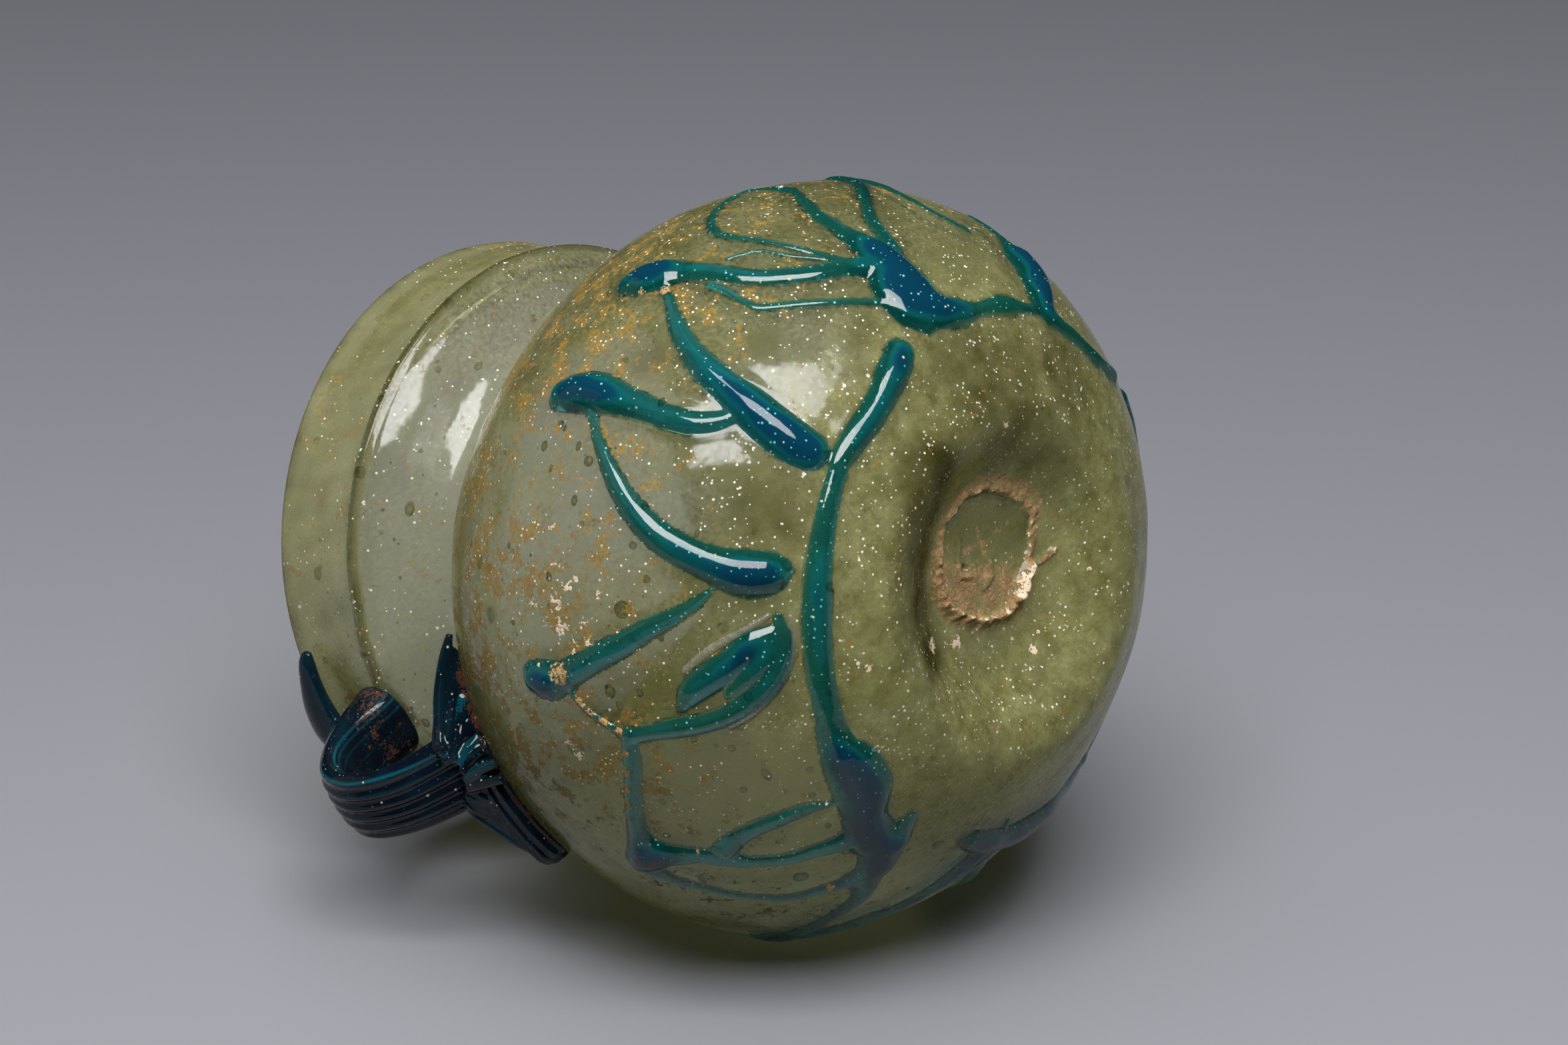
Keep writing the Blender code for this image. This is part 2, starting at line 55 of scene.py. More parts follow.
AXIS_Y = (low[1] + high[1]) / 2 / MM

# Belly, wall and base
BELLY_RADIUS = 48.0
LOWER_HALF = 39.8
UPPER_HALF = 40.2
MEAN_HALF = 43.0
WALL = 2.2
REST_RADIUS = 22.0
REST_WIDTH = 1.6
KICK_RADIUS = REST_RADIUS - REST_WIDTH
KICK_DEPTH = 4.6
KICK_SLOPE = 0.55
BASE_WALL = 3.0
BELLY_LEVEL = LOWER_HALF * math.sqrt(1 - (REST_RADIUS / BELLY_RADIUS) ** 2)
BASE_LATITUDE = -math.degrees(math.acos(REST_RADIUS / BELLY_RADIUS))

# Neck and mouth
SHOULDER_END = 44.0
SHOULDER_LEVEL = BELLY_LEVEL + UPPER_HALF * math.sin(math.radians(SHOULDER_END))
NECK_RADIUS = 28.5
NECK_LEVEL = SHOULDER_LEVEL + 5.9
THROAT_DROP = 0.9
FOLD_RADIUS = 37.8
FOLD_LEVEL = NECK_LEVEL + 10.2
FOLD_PROUD = 0.7
FOLD_HEIGHT = 1.8
RIM_RADIUS = 38.4
BAND_HEIGHT = 14.6
RIM_LEVEL = FOLD_LEVEL + BAND_HEIGHT
BAND_WALL = 3.6
BAND_HOLLOW = 0.5

# The lopsided blow of the belly
LEAN = 0.056
LEAN_TURN = 129.0
LEAN_FROM_RADIUS = REST_RADIUS + 2.0
LEAN_FULL_RADIUS = LEAN_FROM_RADIUS + 9.0
LEAN_END_RISE = NECK_LEVEL - BELLY_LEVEL + 1.5
LEAN_FULL_RISE = LEAN_END_RISE - 7.0

# Pontil scar: the ring left where the holding rod was broken off
PONTIL_PROUD = 1.4
PONTIL_TURN = 129.0
SCAR_REACH = 14.0

# Handle
STRAP_WIDTH = 10.5
STRAP_THICKNESS = 3.6
STRAP_STANDOFF = 7.6
STRAP_BEND = 3.6
STRAP_RIBS = 6
STRAP_INSET = 0.12
RIB_HEIGHT = 0.45
FOOT_LATITUDE = 30.0
FOOT_WIDTH = 13.0
FOOT_THICKNESS = 5.0
FOOT_SUNK = 0.8
PAD_WIDTH = 11.0
PAD_HEIGHT = 8.5
PAD_SUNK = 0.6
PAD_ROUNDING = 1.2
TOE_THICKNESS = 3.4
TOE_SUNK = 0.8
TAIL_WIDTH = 4.2
TAIL_SPREAD = 1.15
TAIL_THICKNESS = 3.2
TAIL_SUNK = 0.4

# Threads of the vine: a thread's crest rises with its width, and its edges melt into the wall
GAP = 0.3
CREST_BASE = 0.06
CREST_RISE = 0.13
CREST_SWELL = 0.024
CREST_TALLEST = 1.5
THREAD_SPREAD = 1.12
WALL_SWELL = 0.16
SUNK = 0.45
FLANGE = 0.35
FILLET = 0.12
FAR_BELOW = -9.0
USUAL_LATITUDE = 28.0

# Bubbles in the wall, most of them tiny: how many to a square metre, how deep, and their radii
BUBBLE_DENSITY = 42000.0
BUBBLE_DEPTH = 1.05
BUBBLE_SMALLEST = 0.14
BUBBLE_LARGEST = 0.8
BUBBLES_FROM_RADIUS = 16.0
BUBBLES_BELOW_RIM = 3.0
PLACED_DEPTH = 0.95
PLACED_FLATNESS = 0.62
PLACED_THICKEST = 0.75

# Fineness of the meshes
OUTSIDE_SEGMENTS = 416
INSIDE_SEGMENTS = 208
SKIN_SEGMENTS = 96
SCAR_STEP = 0.28
TRAIL_STEP = 0.24
TOE_STEP = 0.5
HANDLE_VOXEL = 0.2

rng = np.random.default_rng(7)


# Shapes

def smooth(low_edge, high_edge, value):
    """0 below low_edge, 1 above high_edge, and an even rise between."""
    share = np.clip((np.asarray(value, float) - low_edge) / (high_edge - low_edge), 0.0, 1.0)
    return share * share * (3 - 2 * share)


def wave_set(shortest, longest, count=14):
    """Random plane waves with lengths in millimetres: a direction, a pace and a start for each."""
    ways = rng.normal(size=(count, 3))
    ways /= np.linalg.norm(ways, axis=1)[:, None]
    lengths = shortest * (longest / shortest) ** rng.random(count)
    return ways * (2 * math.pi / lengths)[:, None], rng.random(count) * 2 * math.pi


def rippled(points, wave_table):
    """Soft waves through space, mostly from -1 to 1."""
    ways, starts = wave_table
    total = np.zeros(len(points))
    for way, start in zip(ways, starts):
        total += np.sin(points @ way + start)
    return total / math.sqrt(len(starts)) / 1.6


def waves(points, shortest, longest, count=14):
    """Soft waves of their own for one use."""
    return rippled(points, wave_set(shortest, longest, count))


BROAD_DENTS = wave_set(16, 60)
SMALL_DENTS = wave_set(5, 12)


def dent(points):
    """How far the blown wall falls short of its true curve."""
    depth = 0.15 * (1 + rippled(points, BROAD_DENTS)) + 0.06 * (1 + rippled(points, SMALL_DENTS))
    return np.clip(depth, 0, None)


def leaned(points):
    """The lopsided blow: points of the belly shift along the axis by their place across it."""
    radius = np.hypot(points[:, 0], points[:, 1])
    share = smooth(LEAN_FROM_RADIUS, LEAN_FULL_RADIUS, radius)
    share = share * smooth(-LEAN_END_RISE, -LEAN_FULL_RISE, BELLY_LEVEL - points[:, 2])
    turn = math.radians(LEAN_TURN)
    across = points[:, 0] * math.cos(turn) + points[:, 1] * math.sin(turn)
    return points - np.outer(LEAN * across * share, (0, 0, 1))


def on_wall(turn, latitude, height=0.0):
    """Points at heights off the belly's outer wall, at turns and latitudes, and their outward normals."""
    turn, lat = np.radians(turn), np.radians(latitude)
    half = np.where(lat > 0, UPPER_HALF, LOWER_HALF)
    around = np.stack([np.cos(turn), np.sin(turn), np.zeros_like(turn)], axis=-1)
    up = np.array((0, 0, 1.0))
    level = BELLY_LEVEL + half * np.sin(lat)
    points = around * (BELLY_RADIUS * np.cos(lat))[:, None] + up * level[:, None]
    normals = around * (np.cos(lat) / BELLY_RADIUS)[:, None] + up * (np.sin(lat) / half)[:, None]
    normals /= np.linalg.norm(normals, axis=1)[:, None]
    return leaned(points + normals * (height - dent(points))[:, None]), normals


def bezier(start, first, second, end, count):
    """Points along a cubic curve, without its start."""
    t = np.linspace(0, 1, count + 1)[1:, None]
    s = 1 - t
    a, b, c, d = [np.array(corner, float) for corner in (start, first, second, end)]
    return s ** 3 * a + 3 * s * s * t * b + 3 * s * t * t * c + t ** 3 * d


def through(stations, counts):
    """A smooth curve of rows through the stations, with so many steps after each but the last."""
    rows = np.array([stations[0]] + list(stations) + [stations[-1]], float)
    result = []
    for i, count in enumerate(counts):
        a, b, c, d = rows[i:i + 4]
        for t in np.arange(count) / count:
            result.append(0.5 * (2 * b + (c - a) * t + (2 * a - 5 * b + 4 * c - d) * t ** 2
                                 + (3 * b - a - 3 * c + d) * t ** 3))
    result.append(rows[-1])
    return np.array(result)


def softened(line, rounds):
    """A line with its corners rounded, its ends kept."""
    for _ in range(rounds):
        line[1:-1] = line[1:-1] * 0.5 + (line[:-2] + line[2:]) * 0.25
    return line


def arc_line(radius, half, start, end, count):
    """Points of a half ellipse about the belly's widest level, without the first."""
    lat = np.radians(np.linspace(start, end, count + 1)[1:])
    return np.stack([radius * np.cos(lat), BELLY_LEVEL + half * np.sin(lat)], axis=1)


def neck_line(wall, count):
    """The flare, throat and shoulder, downwards, at a depth of wall inside the outer surface."""
    fold = np.array((FOLD_RADIUS - wall, FOLD_LEVEL - FOLD_HEIGHT / 2 + wall * 0.4))
    throat = np.array((NECK_RADIUS - wall, NECK_LEVEL + wall * 0.2))
    lat = math.radians(SHOULDER_END)
    shoulder = np.array(((BELLY_RADIUS - wall) * math.cos(lat),
                         BELLY_LEVEL + (UPPER_HALF - wall) * math.sin(lat)))
    tangent = np.array((-math.sin(lat) * BELLY_RADIUS, math.cos(lat) * UPPER_HALF))
    tangent /= np.linalg.norm(tangent)
    reach = 0.5 * (shoulder[0] - throat[0])
    drop = fold - throat
    flare = bezier(fold, fold - drop * (0.16, 0.42), throat + (0, 0.50 * drop[1]), throat, count)
    hollow = bezier(throat, throat - (0, THROAT_DROP), shoulder + tangent * reach, shoulder, count * 2 // 3)
    return np.vstack([[fold], flare, hollow])


def kick_height(radius):
    """How far the base is pushed in at a radius."""
    return KICK_DEPTH * smooth(0, 1, (1 - radius / KICK_RADIUS) / KICK_SLOPE)


def lip_line(end_degrees, count):
    """A quarter of the rounded rim, from its crest outwards or inwards."""
    half = BAND_WALL / 2
    angle = np.radians(np.linspace(90, end_degrees, count + 1))
    return np.stack([RIM_RADIUS - half + half * np.cos(angle),
                     RIM_LEVEL - half + half * np.sin(angle)], axis=1)


def outside_line():
    """The jar's outer surface from the rim's crest down to the middle of the base."""
    share = np.linspace(0, 1, 17)[1:]
    top, bottom = RIM_LEVEL - BAND_WALL / 2, FOLD_LEVEL + FOLD_HEIGHT / 2
    band = np.stack([RIM_RADIUS + (FOLD_RADIUS - RIM_RADIUS) * share - BAND_HOLLOW * np.sin(math.pi * share),
                     top + (bottom - top) * share], axis=1)
    angle = np.radians(np.linspace(60, -60, 7))
    fold = np.stack([FOLD_RADIUS + FOLD_PROUD * np.cos(angle),
                     FOLD_LEVEL + FOLD_HEIGHT / 2 * np.sin(angle)], axis=1)
    belly = np.vstack([arc_line(BELLY_RADIUS, UPPER_HALF, SHOULDER_END, 0, 24),
                       arc_line(BELLY_RADIUS, LOWER_HALF, 0, BASE_LATITUDE, 40)])
    radius = np.concatenate([np.linspace(KICK_RADIUS, SCAR_REACH, 8),
                             np.arange(SCAR_REACH - SCAR_STEP, 0.2, -SCAR_STEP)])
    base = np.stack([radius, kick_height(radius)], axis=1)
    return np.vstack([lip_line(0, 5), band, fold, neck_line(0, 18), belly, base])


def inside_line():
    """The jar's inner surface from the rim's crest down to the middle of its floor."""
    lip = lip_line(180, 5)
    neck = neck_line(WALL, 16)
    drop = np.linspace(lip[-1], neck[0], 9)[1:-1]
    belly = np.vstack([arc_line(BELLY_RADIUS - WALL, UPPER_HALF - WALL, SHOULDER_END, 0, 14),
                       arc_line(BELLY_RADIUS - WALL, LOWER_HALF - BASE_WALL, 0, BASE_LATITUDE, 20)])
    floor_radius = np.linspace(KICK_RADIUS, 0.6, 14)
    floor = np.stack([floor_radius, BASE_WALL + kick_height(floor_radius)], axis=1)
    return softened(np.vstack([lip, drop, neck, belly, floor]), 5)


def full_turn(count):
    """Even angles round a circle, in radians."""
    return np.arange(count) * 2 * math.pi / count


def ring_grid(line, segments):
    """Rings of a turned line, as points, with the line's outward side taken on its right."""
    angle = full_turn(segments)
    ahead = np.gradient(line, axis=0)
    side = np.stack([-ahead[:, 1], ahead[:, 0]], axis=1)
    side /= np.linalg.norm(side, axis=1)[:, None]
    around = np.stack([np.cos(angle), np.sin(angle)], axis=1)
    return [np.concatenate([rows[:, None, :1] * around[None], np.repeat(rows[:, None, 1:], segments, 1)],
                           axis=2).reshape(-1, 3) for rows in (line, side)]


def ring_faces(start, rings, sides, flipped=False):
    """Four-sided faces between rings of points that follow each other from start."""
    faces = []
    for i in range(rings - 1):
        for j in range(sides):
            a = start + i * sides + j
            b = start + i * sides + (j + 1) % sides
            faces.append((a, a + sides, b + sides, b) if flipped else (a, b, b + sides, a + sides))
    return faces


def in_scene(name, data):
    """A new object in the scene."""
    thing = bpy.data.objects.new(name, data)
    bpy.context.scene.collection.objects.link(thing)
    return thing


def mesh_piece(name, points, faces, material):
    """A piece from points in millimetres about the jar's axis."""
    mesh = bpy.data.meshes.new(name)
    placed = (np.asarray(points) + (AXIS_X, AXIS_Y, 0)) * MM
    mesh.from_pydata(placed.tolist(), [], faces)
    mesh.validate()
    mesh.materials.append(material)
    mesh.shade_smooth()
    return in_scene(name, mesh)


def own_points(piece):
    """A piece's points, in millimetres about the jar's axis."""
    flat = np.empty(len(piece.data.vertices) * 3)
    piece.data.vertices.foreach_get("co", flat)
    return flat.reshape(-1, 3) / MM - (AXIS_X, AXIS_Y, 0)


def paint(piece, name, values):
    """A named amount at each point, for the piece's material to read."""
    layer = piece.data.attributes.new(name, "FLOAT", "POINT")
    layer.data.foreach_set("value", np.asarray(values, np.float32))


def evaluated(source, name):
    """A plain mesh piece of what the source looks like with its modifiers. The source is removed."""
    graph = bpy.context.evaluated_depsgraph_get()
    mesh = bpy.data.meshes.new_from_object(source.evaluated_get(graph))
    bpy.data.objects.remove(source, do_unlink=True)
    mesh.name = name
    return in_scene(name, mesh)


def directions(centres, outs):
    """The unit directions along a line of centres, and across it and its outward directions."""
    ahead = np.gradient(centres, axis=0)
    ahead /= np.linalg.norm(ahead, axis=1)[:, None]
    side = np.cross(ahead, outs)
    return ahead, side / np.linalg.norm(side, axis=1)[:, None]


def swept(centres, side, up, sideways, upwards):
    """Points and faces of a closed tube, whose rings reach so far sideways and up from their centres."""
    rings = centres[:, None] + sideways[..., None] * side[:, None] + upwards[..., None] * up[:, None]
    count, sides = rings.shape[:2]
    faces = ring_faces(0, count, sides)
    faces.append(tuple(reversed(range(sides))))
    faces.append(tuple((count - 1) * sides + j for j in range(sides)))
    return rings.reshape(-1, 3), faces


def melted(name, tubes, voxel, rounds, material):
    """Tubes that overlap, run together into one skin as soft glass does."""
    points, faces, start = [], [], 0
    for tube_points, tube_faces in tubes:
        points.append(tube_points)
        faces += [tuple(v + start for v in face) for face in tube_faces]
        start += len(tube_points)
    source = mesh_piece(name + "_cage", np.vstack(points), faces, material)
    remesh = source.modifiers.new("run_together", "REMESH")
    remesh.mode = "VOXEL"
    remesh.voxel_size = voxel * MM
    remesh.use_smooth_shade = True
    relax = source.modifiers.new("relax", "SMOOTH")
    relax.factor = 0.5
    relax.iterations = rounds
    return evaluated(source, name)


# Materials

# The colours that a Mix node mixes are its inputs of these numbers
FROM, TO = 6, 7

# How far ragged coordinates are shifted, in millimetres
RAGGED_SHIFT = 0.7

# A coat starts where its painted amount and this much of a noise come to more than its start
COAT_RAGGED = 2.2
COAT_START = COAT_RAGGED / 2 + 0.56


def linear(text):
    """An sRGB hex colour as linear red, green, blue and a full alpha."""
    values = [int(text[i:i + 2], 16) / 255 for i in (1, 3, 5)]
    return tuple(v / 12.92 if v <= 0.04045 else ((v + 0.055) / 1.055) ** 2.4 for v in values) + (1.0,)


def add(tree, kind, inputs=None, **settings):
    """One node with its settings, and its inputs set or linked. A node given for an input stands for the
    first of its outputs that is in use."""
    node = tree.nodes.new(kind)
    for name, value in settings.items():
        setattr(node, name, value)
    for name, value in (inputs or {}).items():
        if isinstance(value, bpy.types.Node):
            value = next(output for output in value.outputs if output.enabled)
        if isinstance(value, bpy.types.NodeSocket):
            tree.links.new(value, node.inputs[name])
        else:
            node.inputs[name].default_value = value
    return node


def new_material(name):
    """An empty material and its node tree."""
    material = bpy.data.materials.new(name)
    material.use_nodes = True
    material.node_tree.nodes.clear()
    return material, material.node_tree


def ragged_place(tree, place):
    """Coordinates shifted by a fine noise, so that what they lay out gets ragged edges."""
    push = add(tree, "ShaderNodeTexNoise", {"Vector": place, "Scale": 2600.0, "Detail": 1.0,
                                            "Roughness": 0.7})
    shift = (RAGGED_SHIFT * MM,) * 3
    return add(tree, "ShaderNodeVectorMath", {0: push.outputs["Color"], 1: shift, 2: place},
               operation="MULTIPLY_ADD")


def specked(tree, under, coat, place, scale, radius, share):
    """A coat in specks: one in some cells of a grid, its largest radius a share of the cell. The specks
    differ in size and strength."""
    cell = add(tree, "ShaderNodeTexVoronoi", {"Vector": place, "Scale": scale})
    pick = add(tree, "ShaderNodeSeparateColor", {"Color": cell.outputs["Color"]}).outputs
    size = add(tree, "ShaderNodeMath", {0: pick["Blue"], 1: 0.55, 2: 0.45}, operation="MULTIPLY_ADD")
    far = add(tree, "ShaderNodeMath", {0: cell, 1: size}, operation="DIVIDE")
    strength = add(tree, "ShaderNodeMath", {0: pick["Green"], 1: 0.5, 2: 0.5}, operation="MULTIPLY_ADD")
    dot = add(tree, "ShaderNodeMapRange", {"Value": far, "From Min": radius * 0.7, "From Max": radius,
                                           "To Min": strength, "To Max": 0.0})
    chosen = add(tree, "ShaderNodeMath", {0: pick["Red"], 1: share}, operation="LESS_THAN")
    shown = add(tree, "ShaderNodeMath", {0: dot, 1: chosen}, operation="MULTIPLY")
    return add(tree, "ShaderNodeMixShader", {0: shown, 1: under, 2: coat})


def coated(tree, under, amount, noise, tones, toned_by, bump=None, softness=0.1, most=1.0):
    """A dull coat in two tones, with a ragged edge, where a painted amount and a noise together are high."""
    both = add(tree, "ShaderNodeMath", {0: noise, 1: COAT_RAGGED, 2: amount}, operation="MULTIPLY_ADD")
    share = add(tree, "ShaderNodeMapRange", {"Value": both, "From Min": COAT_START,
                                             "From Max": COAT_START + softness, "To Max": most})
    tone = add(tree, "ShaderNodeMix", {"Factor": toned_by, FROM: linear(tones[0]), TO: linear(tones[1])},
               data_type="RGBA")
    look = {"Color": tone}
    if bump is not None:
        look["Normal"] = bump
    coat = add(tree, "ShaderNodeBsdfDiffuse", look)
    return add(tree, "ShaderNodeMixShader", {0: share, 1: under, 2: coat})


def end_glass(tree, surface, shadow, depth_tint=None, density=0.0):
    """The end of a glass: lamps shine through it in a tint, and its body takes up light with depth."""
    path = add(tree, "ShaderNodeLightPath")
    shade = add(tree, "ShaderNodeBsdfTransparent", {"Color": linear(shadow)})
    lit = add(tree, "ShaderNodeMixShader", {0: path.outputs["Is Shadow Ray"], 1: surface, 2: shade})
    end = add(tree, "ShaderNodeOutputMaterial", {"Surface": lit})
    if depth_tint:
        depth = add(tree, "ShaderNodeVolumeAbsorption", {"Color": linear(depth_tint), "Density": density})
        tree.links.new(depth.outputs[0], end.inputs["Volume"])


def olive_glass():
    """Blown natural glass, long buried: olive from iron, hazed by a thin weathered skin on both faces, with
    golden stain, dark patches, white specks and flakes and a rough scar. Some of the dark patches, on the
    slope of the pushed-in base, are painted shade, and some of the white specks are painted glints of tiny
    bubbles. The eye sees through it, dimly."""
    material, tree = new_material("hazy_olive_glass")
    painted = {part: add(tree, "ShaderNodeAttribute", attribute_name=part).outputs["Fac"]
               for part in ("stain", "white_specks_and_glints", "dense", "umber_and_shade", "milk", "chalk", "scar", "mottle")}
    place = add(tree, "ShaderNodeTexCoord").outputs["Object"]
    ragged = ragged_place(tree, place)

    # Patches of a centimetre, a grain of half a millimetre, blotches, dents, clusters and crumbs between
    cloud, grain, blotch, ripple, gather, crumb = [
        add(tree, "ShaderNodeTexNoise", {"Vector": place, "Scale": scale, "Detail": detail,
                                         "Roughness": rough})
        for scale, detail, rough in ((110.0, 2.0, 0.6), (1700.0, 2.0, 0.7), (380.0, 4.0, 0.68),
                                     (520.0, 1.0, 0.5), (300.0, 2.0, 0.65), (1300.0, 4.0, 0.76))]

    # Cloudy skin
    haze = add(tree, "ShaderNodeMapRange", {"Value": cloud, "From Min": 0.32, "From Max": 0.70,
                                            "To Min": 0.11, "To Max": 0.24})
    haze_grain = add(tree, "ShaderNodeMapRange", {"Value": grain, "From Min": 0.3, "From Max": 0.72,
                                                  "To Min": 0.3, "To Max": 1.9})
    share = add(tree, "ShaderNodeMath", {0: haze, 1: haze_grain}, operation="MULTIPLY")
    for part, weight in (("mottle", 0.24), ("dense", 0.20), ("umber_and_shade", 0.34)):
        share = add(tree, "ShaderNodeMath", {0: painted[part], 1: weight, 2: share}, operation="MULTIPLY_ADD",
                    use_clamp=True)
    blotches = add(tree, "ShaderNodeMapRange", {"Value": blotch, "From Min": 0.30, "From Max": 0.70})
    greens = add(tree, "ShaderNodeMix", {"Factor": blotches, FROM: linear("#827c4b"), TO: linear("#c6c48e")},
                 data_type="RGBA")
    tone = linear("#97955f")
    # The tone turns umber in dark patches, along the fold and the rim band, and as painted shade on the slope
    # of the pushed-in base
    for mixed_by, other in ((cloud, linear("#c8c39d")), (painted["milk"], linear("#b3b2a2")),
                            (painted["mottle"], greens), (painted["umber_and_shade"], linear("#423e1c"))):
        tone = add(tree, "ShaderNodeMix", {"Factor": mixed_by, FROM: tone, TO: other}, data_type="RGBA")
    bump = add(tree, "ShaderNodeBump", {"Strength": 0.10, "Distance": 0.0004, "Height": ripple})
    clear = add(tree, "ShaderNodeBsdfPrincipled", {"Base Color": linear("#e9ead0"), "Roughness": 0.12,
                                                   "IOR": 1.5, "Transmission Weight": 1.0, "Normal": bump})
    film_front = add(tree, "ShaderNodeBsdfDiffuse", {"Color": tone})
    film_back = add(tree, "ShaderNodeBsdfTranslucent", {"Color": tone})
    film = add(tree, "ShaderNodeMixShader", {0: 0.5, 1: film_front, 2: film_back})
    result = add(tree, "ShaderNodeMixShader", {0: share, 1: clear, 2: film})

    # Golden stain, in ragged crumbs of a few tenths of a millimetre that gather in patches
    patchy = add(tree, "ShaderNodeMapRange", {"Value": gather, "From Min": 0.35, "From Max": 0.65,
                                              "To Min": -0.35, "To Max": 0.35})
    stained = add(tree, "ShaderNodeMath", {0: painted["stain"], 1: patchy}, operation="ADD")
    result = coated(tree, result, stained, crumb, ("#62390c", "#96803f"), grain, softness=0.22, most=0.7)

    # White specks of a tenth to half a millimetre, in clusters: real weathering specks, and painted glints
    # that stand for the bright points of tiny bubbles
    white = add(tree, "ShaderNodeBsdfDiffuse", {"Color": linear("#d6d5c8")})
    cluster = add(tree, "ShaderNodeMapRange", {"Value": gather, "From Min": 0.42, "From Max": 0.66,
                                               "To Min": 0.12, "To Max": 1.5})
    clustered_specks_and_glints = add(tree, "ShaderNodeMath", {0: painted["white_specks_and_glints"], 1: cluster}, operation="MULTIPLY")
    for where, scale, radius, some in ((ragged, 700.0, 0.2, 0.26), (place, 1500.0, 0.29, 0.8)):
        limit = add(tree, "ShaderNodeMath", {0: clustered_specks_and_glints, 1: some}, operation="MULTIPLY")
        result = specked(tree, result, white, where, scale, radius, limit)

    # Earth in the scar, and chalky flakes
    rough = add(tree, "ShaderNodeBump", {"Strength": 0.6, "Distance": 0.0005, "Height": grain})
    result = coated(tree, result, painted["scar"], crumb, ("#7a5636", "#b5906c"), crumb, rough, 0.45, 0.88)
    result = coated(tree, result, painted["chalk"], grain, ("#b08a63", "#e6dcc8"), crumb, rough)
    end_glass(tree, result, "#94947e", "#dadfa6", 170.0)
    return material


def blue_glass(name, deep, bright, seed, shares, speck_share, earth_tones, depth_tint, density, shadow):
    """Blue glass drawn or trailed hot: turquoise where thin, nearly navy where thick, full of seed
    bubbles, with brown crust in its hollows. The eye sees a wet gloss over a deep colour. Its shares are
    how much of the light the body stops where the tint is deep and where it is bright. Its seed colour is
    for lighter dots that are painted glints of the seed bubbles."""
    material, tree = new_material(name)
    painted = {part: add(tree, "ShaderNodeAttribute", attribute_name=part).outputs["Fac"]
               for part in ("tint", "crust", "chalk")}
    place = add(tree, "ShaderNodeTexCoord").outputs["Object"]
    grain = add(tree, "ShaderNodeTexNoise", {"Vector": ragged_place(tree, place), "Scale": 2000.0,
                                             "Detail": 3.0, "Roughness": 0.75})
    ripple = add(tree, "ShaderNodeTexNoise", {"Vector": place, "Scale": 600.0, "Detail": 1.0})
    bump = add(tree, "ShaderNodeBump", {"Strength": 0.06, "Distance": 0.0004, "Height": ripple})
    colour = add(tree, "ShaderNodeMix", {"Factor": painted["tint"], FROM: linear(deep), TO: linear(bright)},
                 data_type="RGBA")
    share = add(tree, "ShaderNodeMapRange", {"Value": painted["tint"], "To Min": shares[0],
                                             "To Max": shares[1]})
    gloss = {"IOR": 1.5, "Specular IOR Level": 0.26, "Normal": bump}
    clear = add(tree, "ShaderNodeBsdfPrincipled", gloss | {"Base Color": linear("#f0f8f8"), "Roughness": 0.05,
                                                           "Transmission Weight": 1.0})
    body = add(tree, "ShaderNodeBsdfPrincipled", gloss | {"Base Color": colour, "Roughness": 0.06})
    result = add(tree, "ShaderNodeMixShader", {0: share, 1: clear, 2: body})

    # Painted glints: lighter dots of a tenth to a fifth of a millimetre stand for the bright points of seed
    # bubbles
    pale = add(tree, "ShaderNodeBsdfDiffuse", {"Color": linear(seed)})
    cream = add(tree, "ShaderNodeBsdfDiffuse", {"Color": linear("#cbb48d")})
    for scale, radius, some, coat in ((1600.0, 0.30, 0.45, pale), (800.0, 0.22, speck_share, cream),
                                      (1500.0, 0.28, speck_share * 0.9, cream)):
        result = specked(tree, result, coat, place, scale, radius, some)

    # Brown crust and pale flakes where the surface was painted with them, broken up by noise
    rough = add(tree, "ShaderNodeBump", {"Strength": 0.7, "Distance": 0.0006, "Height": grain})
    result = coated(tree, result, painted["crust"], grain, earth_tones, grain, rough)
    result = coated(tree, result, painted["chalk"], grain, ("#dfe0d6", "#dfe0d6"), grain, rough)
    end_glass(tree, result, shadow, depth_tint, density)
    return material


def bubble_air():
    """Air shut in the glass: a dark ring with a bright point, from light bent at its skin. Its skin is also
    tinted a greyish olive, a painted shade that makes the bubbles read darker.
    """
    material, tree = new_material("air_bubble")
    # The greyish tint is painted shade
    skin = add(tree, "ShaderNodeBsdfGlass", {"Color": linear("#e5e5d4"), "Roughness": 0.0, "IOR": 1 / 1.5})
    end_glass(tree, skin, "#ffffff")
    return material


def floor_sheet(name, near, far, start, end, roughness):
    """Matt laminated sheet, pale grey and faintly glossy, seen from its upper side only. Its tone shifts from
    the near colour to the far one along its y axis; a darker far colour is painted shade.
    """
    material, tree = new_material(name)
    place = add(tree, "ShaderNodeTexCoord").outputs["Object"]
    split = add(tree, "ShaderNodeSeparateXYZ", {"Vector": place})
    share = add(tree, "ShaderNodeMapRange", {"Value": split.outputs["Y"], "From Min": start, "From Max": end})
    tone = add(tree, "ShaderNodeMix", {"Factor": share, FROM: linear(near), TO: linear(far)},
               data_type="RGBA")
    sheet = add(tree, "ShaderNodeBsdfPrincipled", {"Base Color": tone, "Roughness": roughness})
    side = add(tree, "ShaderNodeNewGeometry")
    nothing = add(tree, "ShaderNodeBsdfTransparent")
    seen = add(tree, "ShaderNodeMixShader", {0: side.outputs["Backfacing"], 1: sheet, 2: nothing})
    add(tree, "ShaderNodeOutputMaterial", {"Surface": seen})
    return material


# Vine

